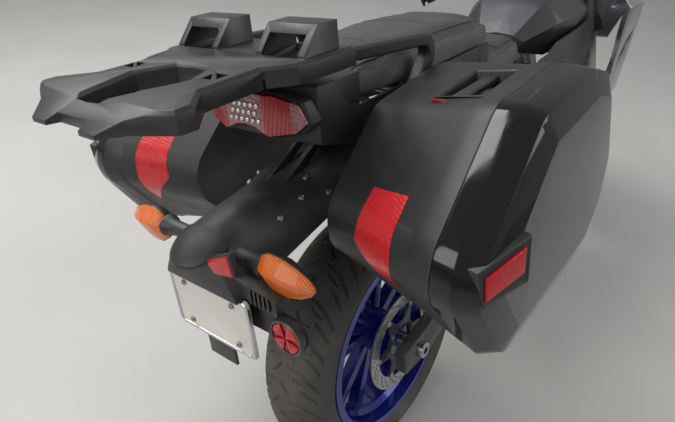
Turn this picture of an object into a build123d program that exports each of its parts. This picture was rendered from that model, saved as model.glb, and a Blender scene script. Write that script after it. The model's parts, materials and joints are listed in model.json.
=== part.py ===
from build123d import *
import os
from math import asin, atan2, cos, degrees, radians, sin, sqrt

# Sport touring motorcycle, leaning on its side stand with its bars on the left stop.
# Every piece is drawn on an upright machine, in millimetres: X forward from the rear axle,
# Y to the left, Z up from the ground. At the end the pieces are leaned over and set down.

# Wheels and stance
wheelbase = 1440
rear_radius = 315
rear_width = 180
front_radius = 300
front_width = 120
lean = 11
rim_radius = 230
tyre_wall = 11
shoulder_share = 0.66
bead_lap = 1

# Steering head
rake = 24
trail = 100
lock = 34
leg_spread = 105
leg_radius = 26
slider_radius = 21
leg_bottom = -45
leg_top = 690
lower_yoke = 520
upper_yoke = 660
yoke_depth = 36
head_radius = 33
stem_radius = 18
running = 0.5

# Axles and brakes
axle_radius = 12.5
axle_clearance = 0.06
axle_bore = 9
rear_disc_radius = 122.5
front_disc_radius = 149
disc_thickness = 5
rear_disc_y = -87.5
front_disc_y = 71.5
sprocket_radius = 108
sprocket_y = 103
sprocket_thickness = 6
chain_pitch_radius = 114
chain_nose_radius = 48
chain_nose = (650, 402)
roller_half = 4.5
link_half = 7.5
link_thickness = 3.2

# Frame, swingarm and stand
spar_inner = 120
spar_thickness = 26
pivot_x = 560
pivot_z = 400
pivot_radius = 30
arm_inner = 114
arm_thickness = 28
tube_radius = 12
stand_pivot = Vector(600, 150, 226)
stand_axis = Vector(0, cos(radians(38)), sin(radians(38)))
stand_foot_x = 672
stand_foot_y = 292
stand_tube = 12
stand_lug = 12.4

# Seats, tank and tail
seat_half = 126
cowl_half = 118
cowl_wall = 5
cowl_inner = cowl_half - cowl_wall
pillion_base = 932
rider_base = 842
panel = 4

# How near a piece lies to what carries it
seat_gap = 0.3

# Luggage
rack_top = 1037
rack_depth = 28
rack_skin = 6
arch_top = 1075
case_inner_y = 152
case_seam_y = 360
case_band_y = 322
case_rim_y = 388
case_dome_y = 420
case_outer_y = 434
band_step = 3
case_wall = 4
case_corner = 60
lid_gap = 1
hinge_radius = 5
hinge_drop = 9
hinge_pin = 2.5
lamp_bottom = 914
lamp_top = 979
lamp_back = -284
lamp_depth = 82
cowl_top = 986
plate_x = -420
plate_z = 649
plate_width = 178
plate_height = 102
plate_seat = 5
reflector_x = -403
indicator_x = -388
indicator_z = 764
indicator_root = 112
indicator_length = 98
indicator_collar = 13


def solid_bar(start, end, radius):
    """Add a round bar between two points."""
    along = Vector(*end) - Vector(*start)
    with BuildSketch(Plane(origin=start, z_dir=along)) as section:
        Circle(radius)
    extrude(section.sketch, amount=along.length)


def bent_tube(points, bend, radius):
    """Add a round tube along straight runs joined by bends."""
    with BuildLine() as route:
        FilletPolyline(*points, radius=bend)
    with BuildSketch(Plane(origin=route.line @ 0, z_dir=route.line % 0)) as section:
        Circle(radius)
    sweep(section.sketch, path=route.line)


def slab(plane, points, depth, mode=Mode.ADD):
    """Add or cut a flat slab whose outline is given on a plane."""
    with BuildSketch(plane) as section:
        with BuildLine():
            Polyline(*points, close=True)
        make_face()
    extrude(section.sketch, amount=depth, mode=mode)


def side_slab(points, inner, outer, mode=Mode.ADD):
    """Add or cut a slab drawn in side view, from one Y to another."""
    slab(Plane.XZ.offset(-outer), points, outer - inner, mode)


def mirrored(points):
    """Close a half outline, given by X and Y, over the machine's middle plane."""
    return list(points) + [(x, -y) for x, y in reversed(points) if abs(y) > 1e-6]


def balanced(points):
    """Close a half section, given by Y and Z, over the machine's middle plane."""
    return list(points) + [(-y, z) for y, z in reversed(points) if abs(y) > 1e-6]


def cross_sections(stations, inset=0):
    """One outline across the machine for each station: its X and its half section."""
    made = []
    for x, half_section in stations:
        with BuildSketch(Plane.YZ.offset(x)) as section:
            with BuildLine():
                Polyline(*balanced(half_section), close=True)
            make_face()
            if inset:
                offset(amount=-inset, kind=Kind.INTERSECTION)
        made.append(section.sketch)
    return made


# Planes and placing
steer_forward = Vector(cos(radians(rake)), 0, sin(radians(rake)))
steer_up = Vector(-sin(radians(rake)), 0, cos(radians(rake)))
fork_offset = front_radius * sin(radians(rake)) - trail * cos(radians(rake))
rear_axle_at = Vector(0, 0, rear_radius)
front_axle_at = Vector(wheelbase, 0, front_radius)
fork = Plane(origin=front_axle_at - steer_forward * fork_offset, x_dir=steer_forward, z_dir=steer_up)
turn = fork.location * Rot(Z=lock) * fork.location.inverse()


def fork_point(x, y, z):
    """A point given forward of, beside and along the steering axis."""
    return tuple(fork.from_local_coords((x, y, z)))


head_x = fork_point(0, 0, lower_yoke)[0]


# Shares of a tyre's round crown at which its facets meet
crown_shares = (-1, -0.66, -0.33, 0, 0.33, 0.66, 1)


def tread(radius, width, shoulder):
    """Places beside the middle and out from the axle where a tyre's crown facets meet."""
    curve = ((width / 2) ** 2 + shoulder**2) / (2 * shoulder)
    edge = asin(width / 2 / curve)
    return [(curve * sin(edge * share), radius - curve + curve * cos(edge * share)) for share in crown_shares]


rear_shoulder = (rear_radius - rim_radius) * shoulder_share
front_shoulder = (front_radius - rim_radius) * shoulder_share
rear_tread = tread(rear_radius, rear_width, rear_shoulder)
front_tread = tread(front_radius, front_width, front_shoulder)


def lowest(place, centre, facets):
    """Height of a placed tyre's lowest point."""
    hub = (place * Pos(*centre)).position
    across = (place * Pos(*(centre + Vector(0, 1, 0)))).position - hub
    return hub.Z + min(y * across.Z - reach * sqrt(1 - across.Z**2) for y, reach in facets)


def stance(pitch):
    """Lean and pitch of the whole machine."""
    return Rot(Y=pitch) * Rot(X=-lean)


def level_error(pitch):
    """How far the front tyre is above the rear one."""
    front = lowest(stance(pitch) * turn, front_axle_at, front_tread)
    return front - lowest(stance(pitch), rear_axle_at, rear_tread)


low_pitch = -5
high_pitch = 5
for _ in range(40):
    pitch = (low_pitch + high_pitch) / 2
    if level_error(pitch) > 0:
        low_pitch = pitch
    else:
        high_pitch = pitch
lift = -lowest(stance(pitch), rear_axle_at, rear_tread)
root_place = Pos(0, 0, lift) * stance(pitch)
front_place = root_place * turn
ground = Plane(root_place.inverse())

pieces = []


def keep(name, piece, place=root_place):
    """Note a finished piece, its name and how it stands."""
    pieces.append((name, piece, place))


# Wheels: tyre, rim with paired spokes and hub
def add_tyre(centre, facets, seat_half):
    """Revolve a tyre's hollow section about its axle."""
    half, belly = facets[-1]
    seat = rim_radius - 13 + bead_lap
    plane = Plane(origin=centre, x_dir=(0, 1, 0), z_dir=(1, 0, 0))
    inner = half - tyre_wall
    side_facet = facets[4]
    with BuildSketch(plane) as section:
        with BuildLine():
            Polyline(*facets)
            Polyline((half, belly), (seat_half, rim_radius + 4), (seat_half, seat), (seat_half - 14, seat),
                     (seat_half - 10, rim_radius + 6), (inner, belly))
            Polyline((inner, belly), (side_facet[0], side_facet[1] - tyre_wall),
                     (-side_facet[0], side_facet[1] - tyre_wall), (-inner, belly))
            Polyline((-inner, belly), (10 - seat_half, rim_radius + 6), (14 - seat_half, seat),
                     (-seat_half, seat), (-seat_half, rim_radius + 4), (-half, belly))
        make_face()
    revolve(section.sketch, axis=Axis(centre, (0, 1, 0)))


def add_wheel(centre, rim_half, hub_radius, hub_right, hub_left):
    """Revolve a rim and hub and join them by five pairs of spokes."""
    plane = Plane(origin=centre, x_dir=(0, 1, 0), z_dir=(1, 0, 0))
    flange = rim_half - 6
    profile = [(-rim_half, rim_radius), (-flange, rim_radius), (-flange, rim_radius - 13),
               (22 - flange, rim_radius - 16), (36 - flange, rim_radius - 27), (flange - 36, rim_radius - 27),
               (flange - 22, rim_radius - 16), (flange, rim_radius - 13), (flange, rim_radius),
               (rim_half, rim_radius), (rim_half, rim_radius - 18), (flange - 20, rim_radius - 26),
               (flange - 32, rim_radius - 35), (32 - flange, rim_radius - 35), (20 - flange, rim_radius - 26),
               (-rim_half, rim_radius - 18)]
    with BuildSketch(plane) as rim:
        with BuildLine():
            Polyline(*profile, close=True)
        make_face()
    revolve(rim.sketch, axis=Axis(centre, (0, 1, 0)))
    face = Plane(origin=centre, x_dir=(1, 0, 0), z_dir=(0, -1, 0))
    spoke_length = rim_radius - 33 - hub_radius + 12
    with BuildSketch(face) as spokes:
        for lead in (-13, 13):
            with PolarLocations(hub_radius - 10 + spoke_length / 2, 5, start_angle=90 + lead):
                Rectangle(spoke_length, 22)
    extrude(spokes.sketch, amount=14, both=True)
    with BuildSketch(face.offset(-hub_left)) as hub:
        Circle(hub_radius)
    extrude(hub.sketch, amount=hub_left - hub_right)
    with BuildSketch(face.offset(-hub_left)) as bore:
        Circle(axle_radius + axle_clearance)
    extrude(bore.sketch, amount=hub_left - hub_right, mode=Mode.SUBTRACT)


rear_seat_half = 71
front_seat_half = 46
rear_rim_half = rear_seat_half + bead_lap + 6
front_rim_half = front_seat_half + bead_lap + 6
rear_hub_right = rear_disc_y + disc_thickness / 2
rear_hub_left = sprocket_y - sprocket_thickness / 2
front_hub = front_disc_y - disc_thickness / 2

with BuildPart() as rear_tyre:
    add_tyre(rear_axle_at, rear_tread, rear_seat_half)
keep("rear_tyre", rear_tyre)

with BuildPart() as rear_wheel:
    add_wheel(rear_axle_at, rear_rim_half, 52, rear_hub_right, rear_hub_left)
keep("rear_wheel", rear_wheel)

with BuildPart() as front_tyre:
    add_tyre(front_axle_at, front_tread, front_seat_half)
keep("front_tyre", front_tyre, front_place)

with BuildPart() as front_wheel:
    add_wheel(front_axle_at, front_rim_half, 46, -front_hub, front_hub)
keep("front_wheel", front_wheel, front_place)


# Brake discs and sprocket, bolted on the hubs' end faces
def add_disc(centre, y, outer, band, arms, hub_radius, hole):
    """Add a disc's ring, its arms and its inner ring."""
    face = Plane(origin=centre, x_dir=(1, 0, 0), z_dir=(0, -1, 0)).offset(-y)
    with BuildSketch(face) as disc:
        Circle(outer)
        Circle(outer - band, mode=Mode.SUBTRACT)
        with PolarLocations((outer - band + hub_radius) / 2, arms, start_angle=90):
            Rectangle(outer - band - hub_radius + 12, 20)
        Circle(hub_radius)
        Circle(hole, mode=Mode.SUBTRACT)
    extrude(disc.sketch, amount=disc_thickness / 2, both=True)


with BuildPart() as rear_disc:
    add_disc(rear_axle_at, rear_disc_y, rear_disc_radius, 38, 5, 50, 26)
keep("rear_disc", rear_disc)

with BuildPart() as front_discs:
    for side in (-1, 1):
        add_disc(front_axle_at, side * front_disc_y, front_disc_radius, 36, 5, 44, 26)
keep("front_discs", front_discs, front_place)

with BuildPart() as rear_sprocket:
    face = Plane(origin=rear_axle_at, x_dir=(1, 0, 0), z_dir=(0, -1, 0)).offset(-sprocket_y)
    with BuildSketch(face) as gear:
        Circle(sprocket_radius)
        with PolarLocations(74, 5, start_angle=54):
            Circle(18, mode=Mode.SUBTRACT)
        Circle(26, mode=Mode.SUBTRACT)
    extrude(gear.sketch, amount=sprocket_thickness / 2, both=True)
keep("rear_sprocket", rear_sprocket)


# Drive chain: one fixed loop round both sprockets
def chain_loop(y_low, y_high, half):
    """Add one band of the chain, as wide as its links are high."""
    nose = Vector(chain_nose[0], chain_nose[1] - rear_radius)
    span = nose.length
    slope = degrees(atan2(nose.Y, nose.X))
    wrap = degrees(atan2(chain_pitch_radius - chain_nose_radius, span))
    face = Plane(origin=(0, y_high, rear_radius), x_dir=(1, 0, 0), z_dir=(0, -1, 0))
    with BuildSketch(face) as band:
        for grow, mode in ((half, Mode.ADD), (-half, Mode.SUBTRACT)):
            big = chain_pitch_radius + grow
            small = chain_nose_radius + grow
            up = slope + 90 - wrap
            down = slope - 90 + wrap
            with BuildLine() as loop:
                top_back = Vector(big * cos(radians(up)), big * sin(radians(up)))
                top_nose = nose + Vector(small * cos(radians(up)), small * sin(radians(up)))
                low_back = Vector(big * cos(radians(down)), big * sin(radians(down)))
                low_nose = nose + Vector(small * cos(radians(down)), small * sin(radians(down)))
                tail = Vector(-big * cos(radians(slope)), -big * sin(radians(slope)))
                front = nose + Vector(small * cos(radians(slope)), small * sin(radians(slope)))
                Line(top_back, top_nose)
                ThreePointArc(top_nose, front, low_nose)
                Line(low_nose, low_back)
                ThreePointArc(low_back, tail, top_back)
            make_face(loop.edges(), mode=mode)
    extrude(band.sketch, amount=y_high - y_low)


with BuildPart() as chain:
    gap = sprocket_thickness / 2 + running
    chain_loop(sprocket_y - gap - link_thickness, sprocket_y - gap, link_half)
    chain_loop(sprocket_y + gap, sprocket_y + gap + link_thickness, link_half)
    chain_loop(sprocket_y - gap, sprocket_y + gap, roller_half)
keep("chain", chain)

# Axles, hollow right through
arm_outer = arm_inner + arm_thickness
with BuildPart() as rear_axle:
    solid_bar((0, arm_outer + 14, rear_radius), (0, -arm_outer - 14, rear_radius), axle_radius)
    for start, end in ((rear_hub_left + 1, arm_inner - 0.3), (-arm_inner + 0.3, rear_hub_right - 1)):
        solid_bar((0, start, rear_radius), (0, end, rear_radius), 20)
    for side in (-1, 1):
        solid_bar((0, side * (arm_outer + 0.3), rear_radius), (0, side * (arm_outer + 12), rear_radius), 19)
    with BuildSketch(Plane(origin=(0, arm_outer + 14, rear_radius), z_dir=(0, -1, 0))) as hollow:
        Circle(axle_bore)
    extrude(hollow.sketch, amount=2 * arm_outer + 28, mode=Mode.SUBTRACT)
keep("rear_axle", rear_axle)

axle_half = leg_spread + leg_radius + 8
with BuildPart() as front_axle:
    centre = front_axle_at
    solid_bar((centre.X, axle_half, centre.Z), (centre.X, -axle_half, centre.Z), axle_radius)
    for side in (-1, 1):
        solid_bar((centre.X, side * (front_hub + 1), centre.Z),
                  (centre.X, side * (leg_spread - leg_radius - 0.3), centre.Z), 19)
    with BuildSketch(Plane(origin=(centre.X, axle_half, centre.Z), z_dir=(0, -1, 0))) as hollow:
        Circle(axle_bore)
    extrude(hollow.sketch, amount=2 * axle_half, mode=Mode.SUBTRACT)
keep("front_axle", front_axle, front_place)

# Swingarm: two arms, a yoke in front of the tyre and the pivot barrel
with BuildPart() as swingarm:
    arm = [(-62, 285), (-62, 345), (30, 355), (300, 412), (430, 428), (470, 424), (470, 372), (300, 352),
           (40, 280)]
    for side in (-1, 1):
        inner, outer = sorted((side * arm_inner, side * arm_outer))
        side_slab(arm, inner, outer)
    side_slab([(395, 372), (395, 426), (480, 426), (480, 372)], -arm_outer, arm_outer)
    for side in (-1, 1):
        inner, outer = sorted((side * 66, side * 112))
        side_slab([(470, 374), (470, 424), (pivot_x, pivot_z + 22), (pivot_x, pivot_z - 22)], inner, outer)
    solid_bar((pivot_x, 112, pivot_z), (pivot_x, -112, pivot_z), pivot_radius)
    with BuildSketch(Plane(origin=(pivot_x, 113, pivot_z), z_dir=(0, -1, 0))) as bore:
        Circle(axle_radius + axle_clearance)
    extrude(bore.sketch, amount=226, mode=Mode.SUBTRACT)
    with BuildSketch(Plane(origin=(0, arm_outer + 1, rear_radius), z_dir=(0, -1, 0))) as bore:
        Circle(axle_radius + axle_clearance)
    extrude(bore.sketch, amount=2 * arm_outer + 2, mode=Mode.SUBTRACT)
keep("swingarm", swingarm)

# Main frame: two spars from the pivot plates to the steering head
spar_outer = spar_inner + spar_thickness
spar_nose = (head_x - 180, 826)
spar_crest = (860, 792)
head_low = lower_yoke + yoke_depth / 2 + 3
head_high = upper_yoke - yoke_depth / 2 - 3
gusset_step = 8
gusset_share = 0.7
with BuildPart() as frame:
    spar = [(head_x - 154, 742), (spar_nose[0], spar_nose[1]), (spar_crest[0], spar_crest[1]), (700, 716),
            (590, 620), (515, 480), (515, 330), (600, 330), (600, 470), (650, 580), (800, 650), (950, 700)]
    for side in (-1, 1):
        inner, outer = sorted((side * spar_inner, side * spar_outer))
        side_slab(spar, inner, outer)
    head = Plane(origin=fork.from_local_coords((0, 0, head_low)), x_dir=steer_forward, z_dir=steer_up)
    gusset = mirrored([(-8, 26), (-78, 52), (-138, spar_outer), (-176, spar_outer), (-176, spar_inner),
                       (-150, spar_inner - 8), (-100, 34), (-70, 0)])
    slab(head.offset(gusset_step), gusset, (head_high - head_low) * gusset_share)
    with BuildSketch(head) as tube:
        Circle(head_radius)
    extrude(tube.sketch, amount=head_high - head_low)
    solid_bar((545, spar_outer, 560), (545, -spar_outer, 560), 18)
    solid_bar((592, spar_outer, 368), (592, -spar_outer, 368), 10)
    solid_bar((pivot_x, spar_outer + 10, pivot_z), (pivot_x, -spar_outer - 10, pivot_z), axle_radius)
    side_slab([(575, 340), (600, 340), (622, 300), (622, 190), (578, 190)], spar_inner - 6, spar_inner + 6)
    solid_bar(tuple(stand_pivot - stand_axis * 46), tuple(stand_pivot - stand_axis * (stand_lug + 0.3)), 17)
    with BuildSketch(head) as bore:
        Circle(stem_radius + running)
    extrude(bore.sketch, amount=head_high - head_low, mode=Mode.SUBTRACT)
keep("frame", frame)

# Subframe: tubes from lugs on the spars back to the seats, the tail and the cases
rail_y = 88
rail_front = (660, 105, 650)
stay_front = (580, 106, 580)
tail_tube_z = 889
tail_tube_radius = 9
with BuildPart() as subframe:
    rail_drop = tail_tube_z - 17 - rail_front[2]
    for side in (-1, 1):
        for (x, y, z), radius in ((rail_front, 15), (stay_front, 13)):
            solid_bar((x, side * (y - 6), z), (x, side * (spar_inner - seat_gap), z), radius)
        bent_tube([(rail_front[0], side * rail_front[1], rail_front[2]), (140, side * rail_y, tail_tube_z - 17),
                   (-110, side * 60, tail_tube_z + 1)], 60, tube_radius)
        solid_bar((stay_front[0], side * stay_front[1], stay_front[2]),
                  (60, side * (rail_y - 2), tail_tube_z - 12), 10)
    # Cross tubes; the last two carry the tail cowl
    for x, z, spread in ((380, rail_front[2] + rail_drop * 280 / 520, 95),
                         (140, tail_tube_z - 17, cowl_inner - seat_gap),
                         (-90, tail_tube_z, cowl_inner - seat_gap)):
        solid_bar((x, spread, z), (x, -spread, z), tail_tube_radius)
keep("subframe", subframe)

# Engine, a heavy mass with its open look: case, raked cylinders and head
case_half = 111
header_spots = (-64, 0, 64)
with BuildPart() as engine:
    crankcase = [(618, 300), (612, 470), (690, 560), (800, 540), (930, 500), (985, 420), (975, 330), (900, 282),
                 (700, 270)]
    side_slab(crankcase, -case_half, case_half)
    side_slab([(700, 520), (760, 668), (925, 640), (975, 480)], -98, 98)
    side_slab([(752, 636), (790, 706), (905, 690), (942, 612)], -106, 106)
    for share in (0.15, 0.4, 0.65):
        edge = [(700 + 60 * s - 5, 520 + 148 * s) for s in (share, share + 0.06)]
        edge += [(975 - 50 * s + 5, 480 + 160 * s) for s in (share + 0.06, share)]
        side_slab(edge, -103, 103)
    for y in header_spots:
        solid_bar((838, y, 690), (846, y, 728), 17)
    recess = Plane.XZ.offset(-case_half - 1)
    with BuildSketch(recess) as pocket:
        with Locations(chain_nose):
            Circle(chain_nose_radius + link_half + 3)
        with Locations((chain_nose[0] - 50, chain_nose[1])):
            Rectangle(100, 2 * (chain_nose_radius + link_half + 3) + 18)
    extrude(pocket.sketch, amount=case_half + 1 - (sprocket_y - 12), mode=Mode.SUBTRACT)
    for y in header_spots:
        side_slab([(932, 606), (950, 553), (965.1, 558.3), (948.7, 610.8)], y - 22, y + 22)
keep("engine", engine)

with BuildPart() as engine_covers:
    # x, z, how far it stands out, radius, side
    for x, z, reach, radius, side in ((716, 400, 50, 88, -1), (884, 392, 40, 56, -1), (870, 396, 48, 78, 1),
                                      (680, 402, 30, 74, 1)):
        face = case_half + seat_gap
        solid_bar((x, side * face, z), (x, side * (case_half + reach * 0.6), z), radius)
        solid_bar((x, side * face, z), (x, side * (case_half + reach), z), radius * 0.72)
        for turn_by in range(0, 360, 60):
            bolt_x = x + radius * cos(radians(turn_by))
            bolt_z = z + radius * sin(radians(turn_by))
            solid_bar((bolt_x, side * face, bolt_z), (bolt_x, side * (spar_inner - 1), bolt_z), 9)
keep("engine_covers", engine_covers)

with BuildPart() as exhaust:
    for y in header_spots:
        bent_tube([(957.1, y, 585.1), (1028, y, 607), (1046, y, 420), (1010, y, 225), (840, y * 0.8, 212)],
                  46, 17)
    side_slab([(560, 172), (560, 250), (610, 262), (830, 254), (862, 236), (862, 186), (830, 158), (600, 150)],
              -98, 92)
    bent_tube([(590, -80, 205), (520, -120, 215), (430, -150, 235)], 60, 24)
keep("exhaust", exhaust)

with BuildPart() as radiator:
    core = Plane(origin=(head_x - 128, 0, 592), x_dir=(0, 1, 0), z_dir=(cos(radians(14)), 0, sin(radians(14))))
    with BuildSketch(core) as face:
        RectangleRounded(320, 210, 12)
    extrude(face.sketch, amount=14, both=True)
    for side in (-1, 1):
        inner, outer = sorted((side * (spar_inner + 5), side * (spar_outer - 5)))
        lug_z = head_low + gusset_step - seat_gap
        lug_front, lug_back = (fork.from_local_coords((x, 0, lug_z)) for x in (-150, -170))
        lug = [(head_x - 166, 680), (head_x - 146, 684), (lug_front.X, lug_front.Z), (lug_back.X, lug_back.Z)]
        side_slab(lug, inner, outer)
keep("radiator", radiator)

with BuildPart() as rear_shock:
    shock_low = Vector(452, 0, 436)
    shock_high = Vector(545, 0, 560)
    shock_line = (shock_high - shock_low).normalized()
    shock_high = shock_high - shock_line * 18.4
    solid_bar(tuple(shock_low), tuple(shock_high), 15)
    solid_bar(tuple(shock_low + shock_line * 30), tuple(shock_high - shock_line * 16), 36)
keep("rear_shock", rear_shock)

with BuildPart() as rear_caliper:
    with BuildSketch(Plane(origin=(104, -70, 388), x_dir=(1, 0, 0), z_dir=(0, -1, 0))) as body:
        RectangleRounded(86, 46, 10, rotation=-34)
    extrude(body.sketch, amount=32)
    slot_face = Plane(origin=(0, rear_disc_y + 4.5, rear_radius), x_dir=(1, 0, 0), z_dir=(0, -1, 0))
    with BuildSketch(slot_face) as slot:
        Circle(rear_disc_radius + 3)
    extrude(slot.sketch, amount=9, mode=Mode.SUBTRACT)
    side_slab([(96, 340), (96, 384), (132, 372), (132, 340)], seat_gap - arm_inner, -100)
keep("rear_caliper", rear_caliper)


# Side stand: a leg from the frame's lug down to a foot flat on the ground
def on_ground(x, y):
    """The spot of the ground at a place along and across the upright machine."""
    low = Vector(x, y, 0)
    height = (ground.origin - low).dot(ground.z_dir) / ground.z_dir.Z
    return low + Vector(0, 0, height)


foot = on_ground(stand_foot_x, stand_foot_y)
ankle = foot + ground.z_dir * 20
with BuildPart() as side_stand:
    solid_bar(tuple(stand_pivot), tuple(ankle), stand_tube)
    with BuildSketch(Plane(origin=foot, x_dir=(1, 0, 0), z_dir=ground.z_dir)) as pad:
        RectangleRounded(92, 54, 20)
    extrude(pad.sketch, amount=9)
    solid_bar(tuple(foot + ground.z_dir * 5), tuple(ankle), 13)
    solid_bar(tuple(stand_pivot - stand_axis * stand_lug), tuple(stand_pivot + stand_axis * stand_lug), 17)
keep("side_stand", side_stand)

# Tank, seats and tail
# Columns: share of the way to the front, top, then Y and Z of the shoulder, the waist and the lower edge
tank_table = (
    (0.0, 884, 50, 878, 78, 862, 58, 838),
    (0.28, 962, 92, 948, 136, 896, 100, 808),
    (0.6, 992, 112, 976, 170, 912, 112, 808),
    (0.86, 972, 104, 958, 150, 900, 108, 812),
    (1.0, 930, 84, 920, 118, 880, 90, 826),
)
tank_back = 648
tank_front = head_x - 200
with BuildPart() as fuel_tank:
    stations = []
    for share, top, shoulder_y, shoulder_z, waist_y, waist_z, low_y, low_z in tank_table:
        half_section = [(0, top), (shoulder_y, shoulder_z), (waist_y, waist_z), (low_y, low_z), (0, low_z)]
        stations.append((tank_back + share * (tank_front - tank_back), half_section))
    loft(cross_sections(stations), ruled=True)
    for side in (-1, 1):
        # A foot on the spar
        rise = (spar_nose[1] - spar_crest[1]) / (spar_nose[0] - spar_crest[0])
        foot_x = (spar_nose[0] - 60, spar_nose[0] - 24)
        foot_z = [spar_nose[1] - (spar_nose[0] - x) * rise + seat_gap for x in foot_x]
        inner, outer = sorted((side * (spar_inner - 20), side * (spar_inner + 14)))
        rest = [(foot_x[0], foot_z[0]), (foot_x[1], foot_z[1]), (foot_x[1], 880), (foot_x[0], 880)]
        side_slab(rest, inner, outer)
keep("fuel_tank", fuel_tank)

# Columns: X, half width, top, how far the edges drop
seat_table = ((338, 116, 926, 20), (420, 130, 908, 22), (520, 122, 902, 22), (640, 68, 876, 10))
pillion_table = ((-138, 92, 976, 16), (-60, 116, 992, 22), (120, seat_half, 998, 26), (330, 122, 990, 24))


def add_seat(table, bottom):
    """Loft a seat whose top edges are chamfered."""
    stations = []
    for x, half, top, drop in table:
        half_section = [(0, top), (half - 36, top - 4), (half, top - drop), (half - 6, bottom), (0, bottom)]
        stations.append((x, half_section))
    loft(cross_sections(stations), ruled=True)


with BuildPart() as rider_seat:
    add_seat(seat_table, rider_base)
keep("rider_seat", rider_seat)

with BuildPart() as pillion_seat:
    add_seat(pillion_table, pillion_base)
keep("pillion_seat", pillion_seat)

# Tail lamp: W-shaped from behind, bowed in plan, set into the cowl's end
lamp_half = [(0, lamp_top), (60, lamp_top - 2), (98, lamp_top - 14), (111, 938), (92, 922), (47, lamp_bottom),
             (18, 926), (0, 928)]


def add_lamp(grow, mode):
    """Add the lamp's form, or cut its seat in the cowl."""
    with BuildSketch(Plane.YZ.offset(lamp_back)) as face:
        with BuildLine():
            Polyline(*balanced(lamp_half), close=True)
        make_face()
        if grow:
            offset(amount=grow)
    extrude(face.sketch, amount=lamp_depth + grow, mode=mode)


with BuildPart() as tail_lamp:
    add_lamp(0, Mode.ADD)
    for side in (-1, 1):
        slab(Plane.XY.offset(lamp_bottom - 5), [(lamp_back - 1, side * 44), (lamp_back - 1, side * 130),
                                                (lamp_back + 26, side * 130)], 90, Mode.SUBTRACT)
keep("tail_lamp", tail_lamp)

with BuildPart() as tail_cowl:
    plan = [(-254, 0), (-254, 64), (-238, 112), (-205, cowl_half), (250, cowl_half), (560, 112), (560, 0)]
    inner_plan = [(-190, 0), (-190, cowl_inner), (250, cowl_inner), (561, 112 - cowl_wall), (561, 0)]
    slab(Plane.XY.offset(760), mirrored(plan), cowl_top - 760)
    slab(Plane.XY.offset(750), mirrored(inner_plan), cowl_top - 760, Mode.SUBTRACT)
    pillion_step = pillion_base - seat_gap
    rider_step = rider_base - seat_gap
    side = [(-260, cowl_top), (-142, cowl_top), (-142, pillion_step), (336, pillion_step), (338, rider_step),
            (560, rider_step), (560, 770), (420, 790), (150, 822), (-110, 862), (-196, 884), (-260, 902)]
    with BuildSketch(Plane.XZ.offset(-200)) as profile:
        with BuildLine():
            Polyline(*side, close=True)
        make_face()
    extrude(profile.sketch, amount=400, mode=Mode.INTERSECT)
    add_lamp(0.6, Mode.SUBTRACT)
    for side in (-1, 1):
        inner, outer = sorted((side * (cowl_half - 2), side * (cowl_half + 9)))
        side_slab([(-172, 944), (-72, 925), (-142, 897)], inner, outer, Mode.SUBTRACT)
        side_slab([(180, 915), (300, 905), (270, 860), (190, 868)], inner, outer, Mode.SUBTRACT)
keep("tail_cowl", tail_cowl)

# Rear fender: an arched hood that ends over the plate, with the plate's bracket
with BuildPart() as rear_fender:
    # x, half width, lower edge, crown
    hood_table = ((-430, 84, 706, 768), (-396, 86, 712, 798), (-340, 84, 722, 808), (-250, 100, 756, 812),
                  (-200, 106, 772, 818), (-60, 96, 806, 850))
    for grow, mode in ((0, Mode.ADD), (-panel, Mode.SUBTRACT)):
        hood_sections = []
        for x, half, edge, top in hood_table:
            along = x - grow if x < -420 else x - grow * 0.3 if x > -60 else x
            with BuildSketch(Plane.YZ.offset(along)) as section:
                with BuildLine():
                    wide = half + grow
                    base = edge + grow * 0.3
                    ThreePointArc((-wide, base), (0, top + grow), (wide, base))
                    Line((wide, base), (-wide, base))
                make_face()
            hood_sections.append(section.sketch)
        loft(hood_sections, ruled=True, mode=mode)
    slab(Plane.YZ.offset(plate_x + plate_seat), [(-62, 600), (-62, 712), (-20, 725), (-20, 776), (20, 776),
                                                 (20, 725), (62, 712), (62, 600)], 22)
    slab(Plane.YZ.offset(plate_x + plate_seat), [(-30, 544), (-30, 604), (36, 604), (36, 544)], 5)
    slab(Plane.YZ.offset(reflector_x + 5), [(-194, 640), (-194, 690), (-60, 700), (-60, 640)], 5)
    slab(Plane.YZ.offset(plate_x + plate_seat), [(-152, 702), (-152, 728), (-70, 742), (-70, 712)], 26)
    for side in (-1, 1):
        solid_bar((indicator_x, side * 60, indicator_z),
                  (indicator_x, side * (indicator_root - seat_gap), indicator_z),
                  indicator_collar)
    strut_top = tail_tube_z - tail_tube_radius - seat_gap
    for y in (-24, 14):
        side_slab([(-262, 800), (-226, 800), (-76, strut_top), (-104, strut_top)], y, y + 10)
keep("rear_fender", rear_fender)

with BuildPart() as number_plate:
    with BuildSketch(Plane.YZ.offset(plate_x)) as plate:
        with Locations((0, plate_z)):
            RectangleRounded(plate_width + 12, plate_height + 12, 8)
    extrude(plate.sketch, amount=plate_seat - seat_gap)
keep("number_plate", number_plate)

with BuildPart() as rear_reflector:
    solid_bar((reflector_x + 5 - seat_gap, -159, 665), (reflector_x - 7, -159, 665), 31)
keep("rear_reflector", rear_reflector)

with BuildPart() as rear_indicators:
    for side in (-1, 1):
        spot = Vector(indicator_x, side * indicator_root, indicator_z)
        with BuildSketch(Plane(origin=spot, x_dir=(0, side, 0), z_dir=(1, 0, 0))) as leaf:
            with BuildLine():
                Line((0, 0), (0, side * indicator_collar))
                Bezier((0, side * indicator_collar), (20, side * 38), (80, side * 36), (indicator_length, 0))
                Line((indicator_length, 0), (0, 0))
            make_face()
        revolve(leaf.sketch, axis=Axis(spot, (0, 1, 0)))
keep("rear_indicators", rear_indicators)

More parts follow.
